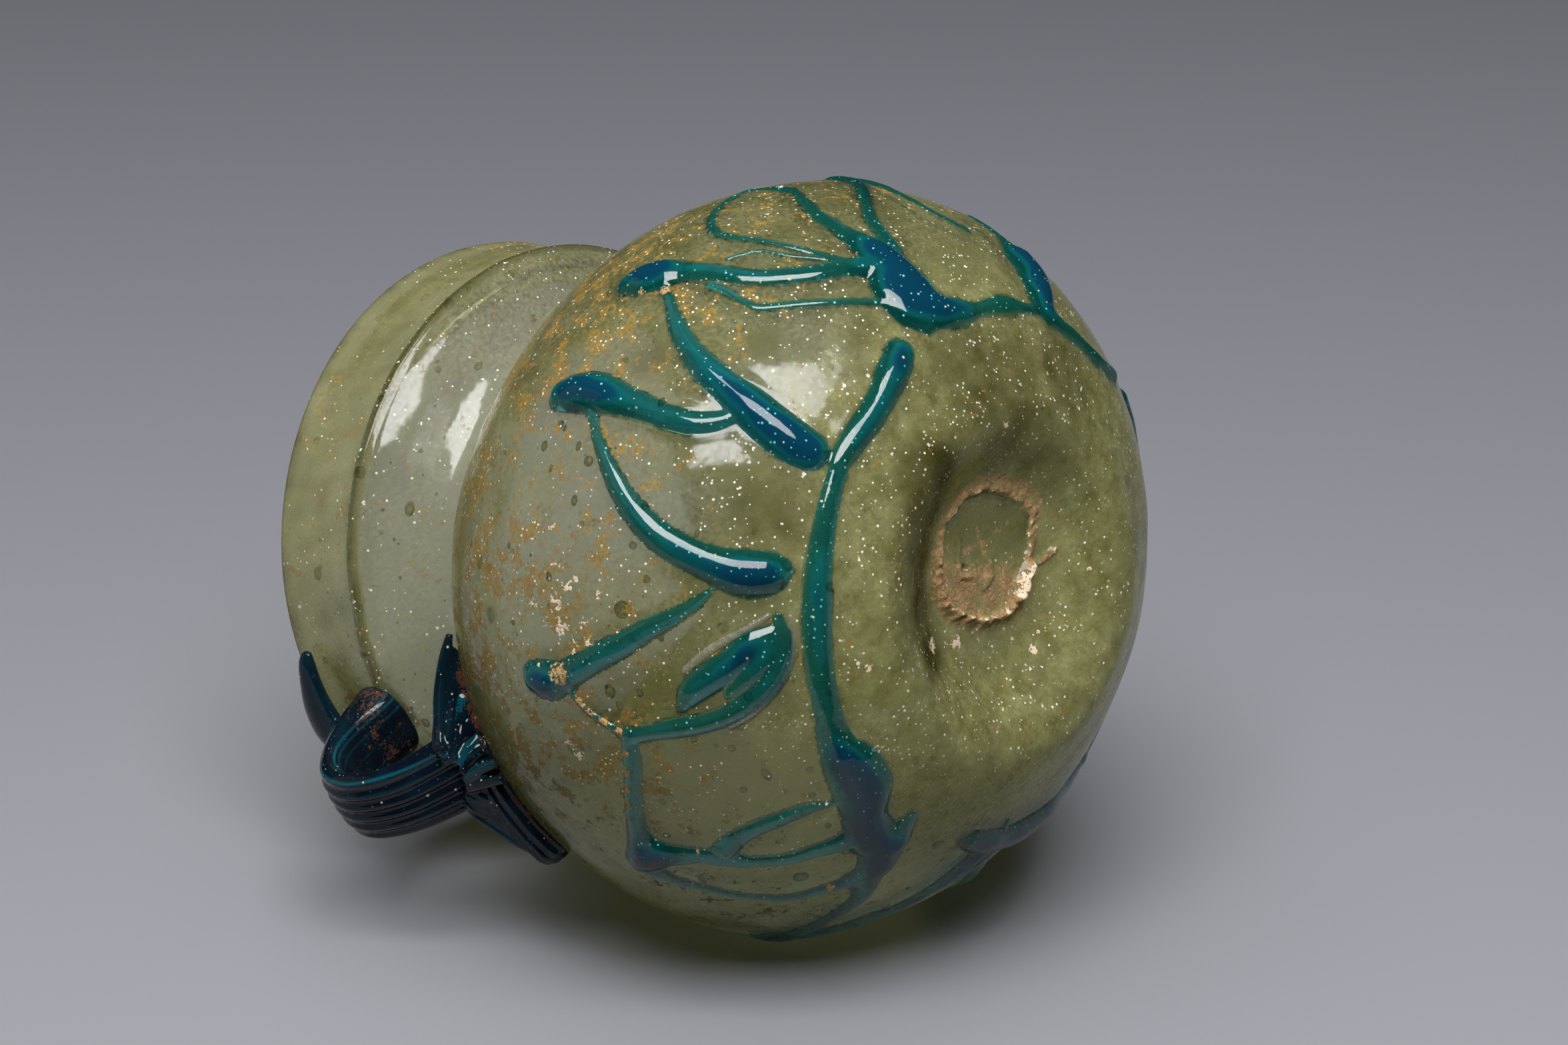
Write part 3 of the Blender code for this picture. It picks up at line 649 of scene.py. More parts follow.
# Threads of the vine on the belly: turn, latitude and width
FRONT_THREADS = (
    [(95.9, -47.3, 3.2), (92, -48.6, 3.8), (85.1, -50.2, 3.5), (79, -50.7, 3.2), (72.7, -50.4, 2.8),
     (66.7, -49.9, 2.4), (63.8, -50.2, 2.2), (59.8, -50.4, 2.2), (49.2, -51, 2.7), (37.6, -51.3, 3.1),
     (22.1, -51.2, 3.0), (9.3, -50.8, 2.9), (3.9, -50.4, 3.2), (-2.3, -50.2, 4.4), (-8.6, -50.6, 6.2),
     (-14, -50, 6.6), (-18.5, -48.6, 5.6), (-22.9, -46.7, 5.0), (-28.5, -45, 5.6), (-33.4, -44.9, 5.4),
     (-33.5, -47.2, 3.6), (-33, -49.5, 2.2), (-32.3, -51.2, 0.8)],
    [(-33, -44.4, 5.4), (-36.2, -41, 4.8), (-38.4, -37.2, 3.2), (-41.6, -32.4, 2.4), (-42.8, -28.1, 2.0),
     (-43.5, -21, 2.0), (-44.8, -13.5, 2.8), (-46.6, -7, 3.2), (-45.6, -3.4, 2.4)],
    [(-48.3, -16.1, 0.9), (-50.9, -24.3, 0.9), (-57.1, -29.3, 1.0), (-61.4, -32, 1.2), (-63, -35.4, 1.7),
     (-65.3, -37, 2.2), (-66.9, -39.4, 2.9), (-68.6, -42.6, 2.8), (-68.2, -48.4, 1.2)],
    [(85.2, -3.4, 1.4), (82.4, -8.4, 1.0), (79.9, -11.7, 1.3), (77.4, -14.8, 1.9), (74.6, -19, 2.6),
     (72.4, -23.4, 3.1), (70.8, -27.9, 3.4), (69.1, -32.9, 4.4), (67.5, -37.3, 4.9), (66.3, -41.2, 4.8),
     (65.7, -44.6, 4.4)],
    [(83.6, 1.6, 3.4), (84.6, -1, 4.6), (86, -4, 4.7), (87.2, -7.6, 3.2), (88.3, -11.8, 2.5),
     (90.1, -18.5, 2.4), (92.8, -23.4, 2.3), (97.5, -27.7, 2.1), (102.8, -30.6, 2.5), (106.8, -33, 3.6)],
    [(86.2, -14.6, 1.0), (86.2, -18, 0.9), (85.7, -22, 0.9), (86.3, -25.6, 1.0), (92.8, -32.4, 0.9),
     (97.4, -36.1, 0.9), (102, -39.6, 0.9)],
    [(91.9, -13.2, 0.5), (93.6, -14.5, 0.5), (95.9, -17, 0.5), (98, -22.6, 0.5), (103.6, -29.9, 0.5)],
    [(114.2, -4.6, 1.5), (113.8, -1.9, 1.7), (113.4, 0.9, 0.9), (112, 4, 0.8), (108.2, 3.7, 0.8),
     (103.5, 1.6, 0.9), (99.9, -1.1, 1.0), (97.3, -4.8, 1.0), (96.5, -8.8, 0.9), (97.5, -13.5, 0.8),
     (100.1, -22.5, 0.8), (103.6, -29.9, 0.9)],
    [(114, -5.4, 1.2), (109.9, -14.5, 1.7), (108.9, -19.7, 2.0), (108.8, -23.8, 2.3), (109.1, -28.2, 3.8),
     (109, -33, 5.6), (108.4, -38, 6.8), (108.7, -42.2, 6.2), (111.4, -44.6, 5.0), (116, -45.8, 3.8),
     (122.3, -46.1, 1.8), (130.8, -45.5, 2.6), (137.8, -45.3, 1.5), (143.5, -44.6, 1.6)],
    [(106.6, -34.2, 3.4), (105, -38.4, 4.6), (104.6, -42.2, 4.4), (106, -45.6, 2.8)],
    [(127.8, 1, 1.8), (127.4, -4, 2.1), (125.2, -9, 1.8), (119.2, -17.4, 1.5), (115.6, -22.9, 1.6),
     (114.1, -27.3, 1.9), (112.6, -31.4, 2.4)],
    [(127.6, -0.6, 1.8), (130, -3.6, 1.9), (130.6, -8.6, 1.3), (130, -15.6, 1.0), (130.8, -21.5, 0.9),
     (134.9, -26.7, 0.8)],
    [(142.6, -18.1, 0.7), (144.6, -21.4, 1.2), (145.2, -25.4, 1.5), (144.6, -29.4, 3.0),
     (144.8, -32.6, 5.0), (145.7, -35.8, 5.6), (144.9, -40.2, 4.8), (144.2, -44, 4.0), (148, -45.6, 2.8),
     (156, -45.9, 2.4), (165.5, -45.2, 2.4), (172, -43, 2.8)],
    [(62.4, -5, 1.4), (60.8, -7.4, 1.0), (58.9, -9, 1.1), (56.6, -11.2, 1.4), (53.7, -14.1, 1.8),
     (50.3, -17.7, 2.4), (46.9, -22.1, 2.9), (44.4, -26.2, 3.2), (42.5, -30.8, 3.4), (41.1, -35.1, 4.0),
     (40, -39.9, 5.0), (40.3, -43.4, 4.6), (41.3, -45.6, 2.4)],
    [(63.8, 1.8, 3.6), (64.3, -1.6, 4.5), (64.6, -5.6, 4.6), (64.2, -10.5, 3.9), (63.7, -16, 3.1),
     (63.2, -21.1, 2.6), (63.4, -25.7, 2.5), (64.9, -29.5, 2.2), (67.3, -32.2, 1.6)],
    [(36.8, -35, 0.5), (34.4, -32.6, 1.2), (32.1, -28.9, 1.7), (30.3, -25.1, 2.2), (27.8, -20.2, 2.6),
     (25.6, -15, 2.9), (23, -9.1, 3.0), (21.9, -4.8, 4.4), (22, -1.9, 3.8)],
    [(20.1, -9.7, 0.8), (17.4, -12.2, 0.8), (15.1, -15.6, 0.9), (13.2, -18.4, 1.2)],
    [(13, -19.4, 1.8), (13.3, -24.3, 1.9), (13.3, -29.1, 2.3), (13.4, -32.9, 2.2), (14.4, -37.5, 2.4),
     (17, -41.6, 3.0), (20.6, -44.2, 3.2), (25.1, -45.6, 2.8), (29.3, -45.8, 1.6), (32.1, -45.4, 0.6)],
    [(16.7, -29, 0.9), (19.4, -31.4, 2.8), (21.2, -34.2, 3.4), (23.4, -38, 3.6), (26, -41.3, 3.8),
     (27.6, -43.8, 2.6)],
    [(17.6, -36.6, 0.6), (19.4, -38.8, 2.2), (22, -41.4, 3.4), (25, -43.6, 3.4), (28.4, -45, 1.8)],
    [(13, -18.9, 1.6), (8.7, -18.1, 1.8), (3.8, -16.3, 1.8), (-1.4, -13.9, 1.9), (-5.6, -12.6, 2.6),
     (-9.6, -12, 5.2), (-11.4, -8.8, 3.4)],
    [(-9.6, -12.6, 5.0), (-10.9, -16.7, 3.4), (-11.9, -20.5, 2.2), (-13.5, -23, 2.4), (-15.2, -25.3, 2.2),
     (-17.2, -27.5, 1.7), (-21, -33.8, 1.7), (-22.4, -37.2, 2.0), (-24.3, -40.5, 2.6), (-25.7, -44.2, 3.8)],
    [(-12.3, -25.8, 2.6), (-11, -28.6, 2.2), (-10.4, -31.8, 2.0), (-10.6, -35.3, 1.9), (-11.1, -38.7, 1.7),
     (-12, -41.9, 1.2), (-14, -45.1, 0.4)],
    [(-12.2, -9.2, 3.0), (-15.7, -11.4, 1.7), (-20.4, -16.3, 1.1), (-22.4, -18.4, 1.0), (-25.7, -21.4, 1.0),
     (-28.8, -24.5, 1.2), (-31, -27.4, 1.3), (-32.8, -30.8, 1.6), (-34.8, -34.1, 1.9), (-36.1, -37.5, 3.0)],
)

# Thin clear ridges that the hot leaf pushed up in the wall beside it
LEAF_RIDGES = (
    [(31.5, -47.4, 0.6), (27, -47.9, 0.8), (21.5, -46.8, 0.9), (16.5, -43.8, 0.9), (13, -39.6, 0.8),
     (11.6, -36, 0.6)],
    [(32, -44, 0.6), (29.8, -41, 0.8), (27.8, -37.4, 0.8), (25.6, -33.8, 0.8), (23, -30.4, 0.6)],
)

# The far side: a long stem, and a zigzag whose lower corners lie on it
FAR_STEM = [(-58, -47, 3.0), (-68, -44, 4.2), (-86, -39, 4.4), (-104, -32, 3.2), (-140, -30, 3.2),
            (-174, -31, 3.0)]
FAR_FIRST_TOP = -44.0
FAR_STRIDE = 38.0
FAR_ZIGZAGS = 3
FAR_LOW_SHARE = 0.58
FAR_TOP_LATITUDE = -8.0

# Spots on the vine: turn, latitude and reach in millimetres
CRUST_SPOTS = (
    (82, -3, 0.9), (87, -8, 0.8), (88, -12, 0.8), (83, -7.6, 1.5), (84, -5.6, 0.9), (23, -8, 2.6),
    (22, -5, 1.7), (24, -10, 1.4), (19, -11, 1.4), (17, -12.5, 1.3), (15.6, -15, 1.3), (14, -17.4, 1.2),
    (10.4, -17.6, 1.2), (7, -16.4, 1.4), (4, -15.2, 1.4), (1, -14, 1.4), (-2, -12.8, 1.2), (-7, -14, 1.1),
    (-11, -17, 0.9), (-11, -21, 0.8), (-14, -23, 0.7), (-12.6, -9, 0.6), (-12.6, -12, 0.6), (-13, -15, 0.7),
    (-11, -54, 0.6), (-12, -52, 0.6), (-15, -51, 0.5), (-6, -48, 0.5), (-33, -32.6, 1.2), (-32, -29, 0.7),
    (-16, -13.6, 0.9), (-11, -30, 0.6), (106, -29, 0.6), (92, -51, 0.9), (40, -45, 0.7), (25, -13, 0.9),
    (61, -9.4, 0.7), (62, -13, 0.5), (-70, -36, 1.0), (-68, -45, 0.9), (-64, -39, 0.9), (45.6, -13.6, 0.5),
    (36, -41, 0.5))
CHALK_SPOTS = ((114, -2.4, 1.1), (-13, -44, 0.6), (110, -38, 0.8), (106, -41, 0.7), (94, -48, 0.9),
               (89, -49, 0.9))


def path_on_wall(stations, step):
    """A thread's path in even steps of about that many millimetres: turn, latitude and width."""
    counts = []
    for (turn, lat, _), (next_turn, next_lat, _) in zip(stations, stations[1:]):
        around = math.radians(next_turn - turn) * BELLY_RADIUS * math.cos(math.radians((lat + next_lat) / 2))
        up = math.radians(next_lat - lat) * LOWER_HALF
        counts.append(max(1, math.ceil(math.hypot(around, up) / step)))
    return through(stations, counts)


def thread_relief(points, threads):
    """How far the threads, run together as soft glass does, stand off each point of the belly."""
    total = np.zeros(len(points))
    for stations in threads:
        line = path_on_wall(stations, TRAIL_STEP)
        seats = on_wall(line[:, 0], line[:, 1])[0]
        widths = line[:, 2] * THREAD_SPREAD * (1 + 0.06 * waves(seats, 4, 14, 6))
        crests = np.minimum(CREST_BASE + CREST_RISE * widths + CREST_SWELL * widths ** 2, CREST_TALLEST)
        reach = widths.max()
        inside = (points > seats.min(axis=0) - reach) & (points < seats.max(axis=0) + reach)
        near = np.flatnonzero(inside.all(axis=1))
        best = np.full(len(near), FAR_BELOW)
        for seat, half, crest in zip(seats, widths / 2, crests):
            gap = ((points[near] - seat) ** 2).sum(axis=1)
            best = np.maximum(best, crest * (1 - gap / half ** 2))
        total[near] += np.exp(best / FILLET)
    return FILLET * np.log(np.maximum(total, 1e-30))


def wall_swell(relief):
    """The wall swells softly towards a thread, where the hot glass drew it up."""
    return WALL_SWELL * smooth(-1.7, -0.1, relief)


def far_threads():
    """The stem of the far side, and a fall and a rise for each zigzag."""
    turns = [-t for t, _, _ in FAR_STEM]
    threads = [FAR_STEM]
    for index in range(FAR_ZIGZAGS):
        top = FAR_FIRST_TOP - index * FAR_STRIDE
        low_turn = top - FAR_STRIDE * FAR_LOW_SHARE
        corner = top - FAR_STRIDE
        depth = float(np.interp(-low_turn, turns, [lat for _, lat, _ in FAR_STEM]))
        middle = (FAR_TOP_LATITUDE + depth) / 2
        threads.append([(top, FAR_TOP_LATITUDE, 2.8), ((top + low_turn) / 2, middle, 2.2),
                        (low_turn, depth, 3.6)])
        threads.append([(low_turn, depth, 2.4), ((low_turn + corner) / 2, middle, 2.6),
                        (corner, FAR_TOP_LATITUDE, 3.8)])
    return threads


def nearness(points, spots):
    """1 on a spot, falling to 0 at its reach. Spots are points with a reach, in millimetres."""
    amount = np.zeros(len(points))
    for spot, reach in spots:
        distance = np.linalg.norm(points - spot, axis=1)
        amount = np.maximum(amount, 1 - smooth(0.3 * reach, reach, distance))
    return amount


def spots_on_wall(spots):
    """Spots given by turn, latitude and reach, as points with a reach."""
    table = np.array(spots, float)
    return list(zip(on_wall(table[:, 0], table[:, 1])[0], table[:, 2]))


def vine(name, threads, turns, latitudes, material):
    """A skin over the threads between two turns and two latitudes. Its edges dip into the wall, so the
    threads melt into the belly, and a floor under it closes it."""
    turn_step = math.degrees(TRAIL_STEP / (BELLY_RADIUS * math.cos(math.radians(USUAL_LATITUDE))))
    lat_step = math.degrees(TRAIL_STEP / LOWER_HALF)
    turn = np.arange(turns[0], turns[1], turn_step)
    lat = np.arange(latitudes[0], latitudes[1], lat_step)
    grid_turn, grid_lat = [part.ravel() for part in np.meshgrid(turn, lat, indexing="ij")]
    relief = thread_relief(on_wall(grid_turn, grid_lat)[0], threads)
    height = relief + wall_swell(relief)
    kept = (relief > -FLANGE).reshape(len(turn), len(lat))
    cells = kept[:-1, :-1] & kept[1:, :-1] & kept[1:, 1:] & kept[:-1, 1:]
    padded = np.pad(cells, 1)
    index = np.arange(len(relief)).reshape(len(turn), len(lat))
    corners = [index[:-1, :-1], index[1:, :-1], index[1:, 1:], index[:-1, 1:]]
    outside = [~padded[1:-1, :-2], ~padded[2:, 1:-1], ~padded[1:-1, 2:], ~padded[:-2, 1:-1]]
    below = len(relief)
    top = np.stack([corner[cells] for corner in corners], axis=1)
    faces = [top, top[:, ::-1] + below]
    for side in range(4):
        edge = cells & outside[side]
        first, second = corners[side][edge], corners[(side + 1) % 4][edge]
        faces.append(np.stack([second, first, first + below, second + below], axis=1))
    faces = np.vstack(faces)
    used, order = np.unique(faces, return_inverse=True)
    faces = order.reshape(faces.shape)
    height = np.concatenate([height, np.full(below, -SUNK)])[used]
    both_turn, both_lat = np.tile(grid_turn, 2)[used], np.tile(grid_lat, 2)[used]
    points = on_wall(both_turn, both_lat, height)[0]
    piece = mesh_piece(name, points, faces.tolist(), material)
    depth = np.tile(relief, 2)[used]
    paint(piece, "tint", 1 - smooth(0.55, 1.15, depth + 0.2 * waves(points, 3, 9)))
    paint(piece, "crust", 0.78 * nearness(points, spots_on_wall(CRUST_SPOTS)))
    paint(piece, "chalk", nearness(points, spots_on_wall(CHALK_SPOTS)))
    return piece


# The pontil scar, seen from below: millimetres to the right and up, with the high side of the lean up
SCAR_MIDDLE = (-0.8, 3.5)
SCAR_RING = ((7.3, 5.5), (7.5, 8), (5.8, 9.2), (4.1, 10.1), (1.7, 10.7), (-1, 11), (-3.3, 10.7),
             (-5.2, 10.2), (-7, 8.4), (-8.4, 6.6), (-8.8, 5.1), (-9, 2.8), (-8.8, 0.2), (-7.6, -2.4),
             (-5.1, -4), (-2.1, -4.6), (1.1, -4.6), (3.8, -3.8), (5.7, -2.2), (6.4, 0.1), (7, 2.6))
SCAR_DUST = ((-8.5, 7.6), (-7.1, 10.2), (-4.2, 11.8), (-1.2, 12.6), (2.3, 12.6), (5.6, 11.4), (7.9, 9.7))
SCAR_CURL = ((-5.5, 4.5), (-5.7, 2.5), (-4.8, 0.7), (-2.5, 0.7), (-0.6, -0.7), (0.7, 0.6), (0.1, 2.2))
SCAR_LEFT = ((-8, 5), (-8.2, 2.8), (-8.2, 0.2), (-7, -2.6), (-4.8, -4.4))
SCAR_CHUNK = ((5.6, -1.8), (6.2, 0.1), (7.7, 1.6))
SCAR_TAIL = ((7.7, 1.6), (10, 2.4), (11.5, 3.8))
SCAR_CRACK = ((6.6, -2.3), (7, -4.4), (6.2, -6.2))
SCAR_PIT = ((-4.3, 1.3), (-4.25, 1.3))
SCAR_STREAKS = (((-4.4, 3.6), (-0.4, 4.8), (3.6, 7.2)), ((-2.2, 6.4), (-0.6, 3.4)), ((-5.8, 8.6), (3.2, 9.6)))


def stroke(right, up, line, reach):
    """1 on a line of the scar, falling to 0 at its reach."""
    near = np.full(len(right), np.inf)
    for (x1, y1), (x2, y2) in zip(line, line[1:]):
        dx, dy = x2 - x1, y2 - y1
        share = np.clip(((right - x1) * dx + (up - y1) * dy) / (dx * dx + dy * dy), 0, 1)
        near = np.minimum(near, np.hypot(right - x1 - share * dx, up - y1 - share * dy))
    return 1 - smooth(0.15 * reach, reach, near)


def scar(x, y):
    """The broken ring of the pontil scar: how far it stands out, its earth, chalk, clear window and pit."""
    turn = math.radians(PONTIL_TURN)
    up = x * math.cos(turn) + y * math.sin(turn)
    right = -x * math.sin(turn) + y * math.cos(turn)
    across, above = right - SCAR_MIDDLE[0], up - SCAR_MIDDLE[1]
    table = np.array(SCAR_RING) - SCAR_MIDDLE
    table_angle = np.arctan2(table[:, 1], table[:, 0])
    order = np.argsort(table_angle)
    ring = np.interp(np.arctan2(above, across), table_angle[order], np.hypot(table[:, 0], table[:, 1])[order],
                     period=2 * math.pi)
    flat_points = np.stack([x, y, np.zeros_like(x)], axis=1)
    off = np.hypot(across, above) - ring + 0.16 * waves(flat_points, 1.5, 5)
    crumbled = np.clip(0.7 + 0.3 * waves(flat_points, 0.9, 3.5), 0.3, 1)
    crest = np.exp(-(off / np.where(off < 0, 0.4, 1.0)) ** 2)
    lower = smooth(0.5, -0.4, above / 8)
    lumps = lower * (off < 0) * np.clip(0.5 + 0.6 * waves(flat_points, 1.6, 5), 0, 1)
    curl, chunk, tail, crack, pit, dust, left = [
        stroke(right, up, line, reach) for line, reach in (
            (SCAR_CURL, 1.0), (SCAR_CHUNK, 1.3), (SCAR_TAIL, 0.8), (SCAR_CRACK, 0.4), (SCAR_PIT, 0.9),
            (SCAR_DUST, 2.6), (SCAR_LEFT, 2.4))]
    height = PONTIL_PROUD * crumbled * crest * (0.55 + 0.35 * lower) + 0.3 * lumps + 0.35 * curl
    height += 0.7 * chunk + 0.35 * tail - 0.8 * pit
    spread = np.exp(-(off / np.where(off > 0, 2.4, 0.6)) ** 2)
    earth = np.maximum.reduce([0.8 * dust, 0.9 * left, 0.9 * curl, lower * (off < 0.3) * (0.68 + 0.3 * lumps),
                               0.95 * spread, 0.9 * tail, crack])
    chalk = np.maximum.reduce([0.8 * np.exp(-((off + 0.1) / 0.3) ** 2) * crumbled, 0.75 * chunk, 0.4 * tail,
                               0.35 * crack])
    window = (1 - lower) * (off < -0.4)
    streaks = np.maximum.reduce([stroke(right, up, line, 0.9) for line in SCAR_STREAKS])
    earth = np.clip(earth * (1 - 0.9 * window) + 0.6 * streaks, 0, 1)
    return height, {"earth": earth, "chalk": chalk, "window": window, "pit": pit}


# Marks on the belly by turn, latitude and reach, and on the base by place across it and reach. The stain
# is strongest on the belly's side at a turn.
DARK_MARKS = ((71, -13, 4.5), (94, -41, 4), (113, 1, 3), (52, -41, 8), (80, -30, 4), (-35, -8, 6),
              (110, -56, 9), (130, -58, 9), (150, -56, 9))
# Painted shade: dark marks on the slope of the pushed-in base, on the side that faces away from the key light
BASE_SHADE_MARKS = ((4.6, 20.5, 8), (7.5, 16.3, 8), (10.2, 11.6, 8), (12.5, 6.9, 7), (14, 1, 6))
FAINT_BASE_MARKS = ((-8.5, 14.9, 9), (-2, 18.2, 9), (-14.4, 6, 7))
FLAKE_MARKS = ((30, -8, 1.8), (33, -8, 1.2), (33, -2, 1.2), (36, -9, 1.3), (39, -7, 1.0), (27, -11, 1.2),
               (31, -13, 1.4), (35, -16, 1.0), (37, -11, 1), (34, -6, 1), (30, -4, 1), (28, -14, 1),
               (44, -5, 0.9), (10, -8, 1.5), (12, -6, 0.9), (112, -18, 0.9), (-7, -55, 0.9), (16, -58, 1))
FLAKE_BASE_MARKS = ((9, -22.6, 1), (12.7, 0.5, 1.6), (8.5, -2.8, 1.5), (-9.7, 17.1, 1), (-1.3, -12.1, 1.2),
                    (0.3, -9.1, 0.7), (-3.4, -11.1, 0.7), (-13.3, -8.9, 0.6), (-24.7, -6.6, 1.2))
STAINED_TURN = 55.0
MILK_MARKS = ((47, -14, 11), (58, 4, 8), (40, 0, 9), (84, -38, 8), (70, -34, 8), (50, -30, 6))


def spots_on_base(spots):
    """Spots given by place across the base and reach, as points with a reach."""
    return [(np.array((x, y, float(kick_height(np.hypot(x, y))))), reach) for x, y, reach in spots]


def vessel(material):
    """The blown body, one closed shell: fine outside, coarser inside, joined along the rim's crest."""
    out_line, in_line = outside_line(), inside_line()
    out_points, out_normals = ring_grid(out_line, OUTSIDE_SEGMENTS)
    in_points, in_normals = ring_grid(in_line, INSIDE_SEGMENTS)
    fade = smooth(0.0, 3.0, RIM_LEVEL - out_points[:, 2]) * smooth(0.0, 3.0, out_points[:, 2])
    relief = thread_relief(leaned(out_points), FRONT_THREADS + tuple(far_threads()))
    out_points = out_points - out_normals * (dent(out_points) * fade - wall_swell(relief))[:, None]
    fade = smooth(0.5, 4.0, RIM_LEVEL - in_points[:, 2])
    swell = 0.22 * waves(in_points, 12, 45) + 0.07 * waves(in_points, 4, 10)
    in_points = in_points + in_normals * (swell * fade)[:, None]

    across = np.hypot(out_points[:, 0], out_points[:, 1])
    near = (across < SCAR_REACH) & (out_points[:, 2] < KICK_DEPTH + 2)
    height, marks = scar(out_points[:, 0], out_points[:, 1])
    near = near * (1 - smooth(SCAR_REACH - 1.0, SCAR_REACH, across))
    out_points[:, 2] -= height * near
    out_points, in_points = leaned(out_points), leaned(in_points)

    # The crest is shared, so the inside starts from its second ring
    base_pole = np.array([[0, 0, out_points[-OUTSIDE_SEGMENTS:, 2].mean()]])
    floor_pole = np.array([[0, 0, BASE_WALL + kick_height(0.0)]])
    points = np.vstack([out_points, in_points[INSIDE_SEGMENTS:], base_pole, floor_pole])
    outer, inner = OUTSIDE_SEGMENTS, INSIDE_SEGMENTS
    start, last = len(out_points), len(out_points) - outer
    faces = ring_faces(0, len(out_line), outer, flipped=True)
    faces += [(last + (j + 1) % outer, last + j, len(points) - 2) for j in range(outer)]
    for j in range(inner):
        near_j, near_k = start + j, start + (j + 1) % inner
        a, b, c = 2 * j, 2 * j + 1, (2 * j + 2) % outer
        faces += [(a, b, near_j), (b, near_k, near_j), (b, c, near_k)]
    faces += ring_faces(start, len(in_line) - 1, inner)
    last = len(points) - 2 - inner
    faces += [(last + j, last + (j + 1) % inner, len(points) - 1) for j in range(inner)]
    piece = mesh_piece("vessel_glass", points, faces, material)
    weather(piece, points, relief, {name: values * near for name, values in marks.items()})
    return piece


def weather(piece, points, relief, marks):
    """The stain, haze, specks and patches painted on the vessel, with painted shade on the slope of the
    pushed-in base and painted glints among the white specks. The threads' relief and the scar's marks
    are given for the outside, whose points come first."""
    rest = len(points) - len(relief)
    outside = np.arange(len(points)) < len(relief)
    marks = {name: np.concatenate([values, np.zeros(rest)]) for name, values in marks.items()}
    bare = np.concatenate([smooth(-0.02, 0.14, relief), np.zeros(rest)])
    z = points[:, 2]
    facing = np.cos(np.arctan2(points[:, 1], points[:, 0]) - math.radians(STAINED_TURN))
    broad, small = waves(points, 12, 40), waves(points, 2.5, 9)
    crumbs = smooth(FOLD_LEVEL, FOLD_LEVEL + 3, z) * np.clip(broad + small, 0, 1)
    band = smooth(FOLD_LEVEL, FOLD_LEVEL + 1.5, z)

    belly = smooth(-26, -8, z - BELLY_LEVEL) * (1 - smooth(60, 70, z))
    stain = belly * (0.29 + 0.24 * smooth(0.2, 0.9, facing)) + 0.16 * (1 - belly)
    stain = np.clip(stain + 0.12 * broad * belly + 0.06 * small * belly, 0, 0.7) + 0.3 * crumbs

    # White specks, some of them painted glints of tiny bubbles: more low on the base and along the fold,
    # fewer on the neck and in the scar's window
    white_specks_and_glints = 0.8 + 0.4 * (1 - smooth(3, 20, z)) - 0.45 * smooth(62, 68, z) + 0.25 * broad
    white_specks_and_glints += 0.9 * np.exp(-((z - FOLD_LEVEL) / 1.2) ** 2) - 0.7 * marks["window"]

    # Umber: dark patches of the glass, the fold line and the rim band, and painted shade on the base's slope
    # from the dark marks on the base
    umber_and_shade = 0.26 * band + 0.35 * smooth(RIM_LEVEL - 3.4, RIM_LEVEL - 1.6, z) + 0.2 * small * band
    umber_and_shade += 1.2 * np.exp(-((z - FOLD_LEVEL) / 0.8) ** 2)
    for strength, spots in ((0.6, spots_on_wall(DARK_MARKS)), (0.8, spots_on_base(BASE_SHADE_MARKS)),
                            (0.35, spots_on_base(FAINT_BASE_MARKS))):
        umber_and_shade += strength * nearness(points, spots)
    umber_and_shade += 0.22 * np.clip(broad + 0.6 * small, 0, 1) * (1 - smooth(10, 24, z)) + 0.12 * np.clip(small, 0, 1)
    umber_and_shade += 0.85 * marks["window"] + marks["pit"]

    dense = 0.75 * band + 0.3 * (1 - smooth(3, 14, z)) - marks["window"] - 2 * bare
    milk = 0.75 * smooth(58, 64, z) * (1 - band) + 0.8 * nearness(points, spots_on_wall(MILK_MARKS))
    flakes = 0.75 * nearness(points, spots_on_wall(FLAKE_MARKS) + spots_on_base(FLAKE_BASE_MARKS))
    mottle = (1 - smooth(4, 15, z + 2 * small)) * (1 - bare) * (1 - 0.8 * marks["window"])
    stain, white_specks_and_glints, umber_and_shade = [values * (1 - bare) for values in (stain, white_specks_and_glints, umber_and_shade)]
    for name, values, lowest, highest in (
            ("stain", np.where(outside, stain, 0.4 * stain), 0, 1.4),
            ("white_specks_and_glints", np.where(outside, white_specks_and_glints, 0.15), 0, 1.4),
            ("umber_and_shade", np.where(outside, umber_and_shade, 0.3 * umber_and_shade), 0, 1.4),
            ("milk", milk, 0, 1.4),
            ("chalk", np.maximum(marks["chalk"], flakes * outside), 0, 1.4),
            ("scar", marks["earth"] + 0.42 * crumbs * outside, 0, 1.4),
            ("mottle", mottle, 0, 1.4),
            ("dense", dense, -1, 1)):
        paint(piece, name, np.clip(values, lowest, highest))


# Handle

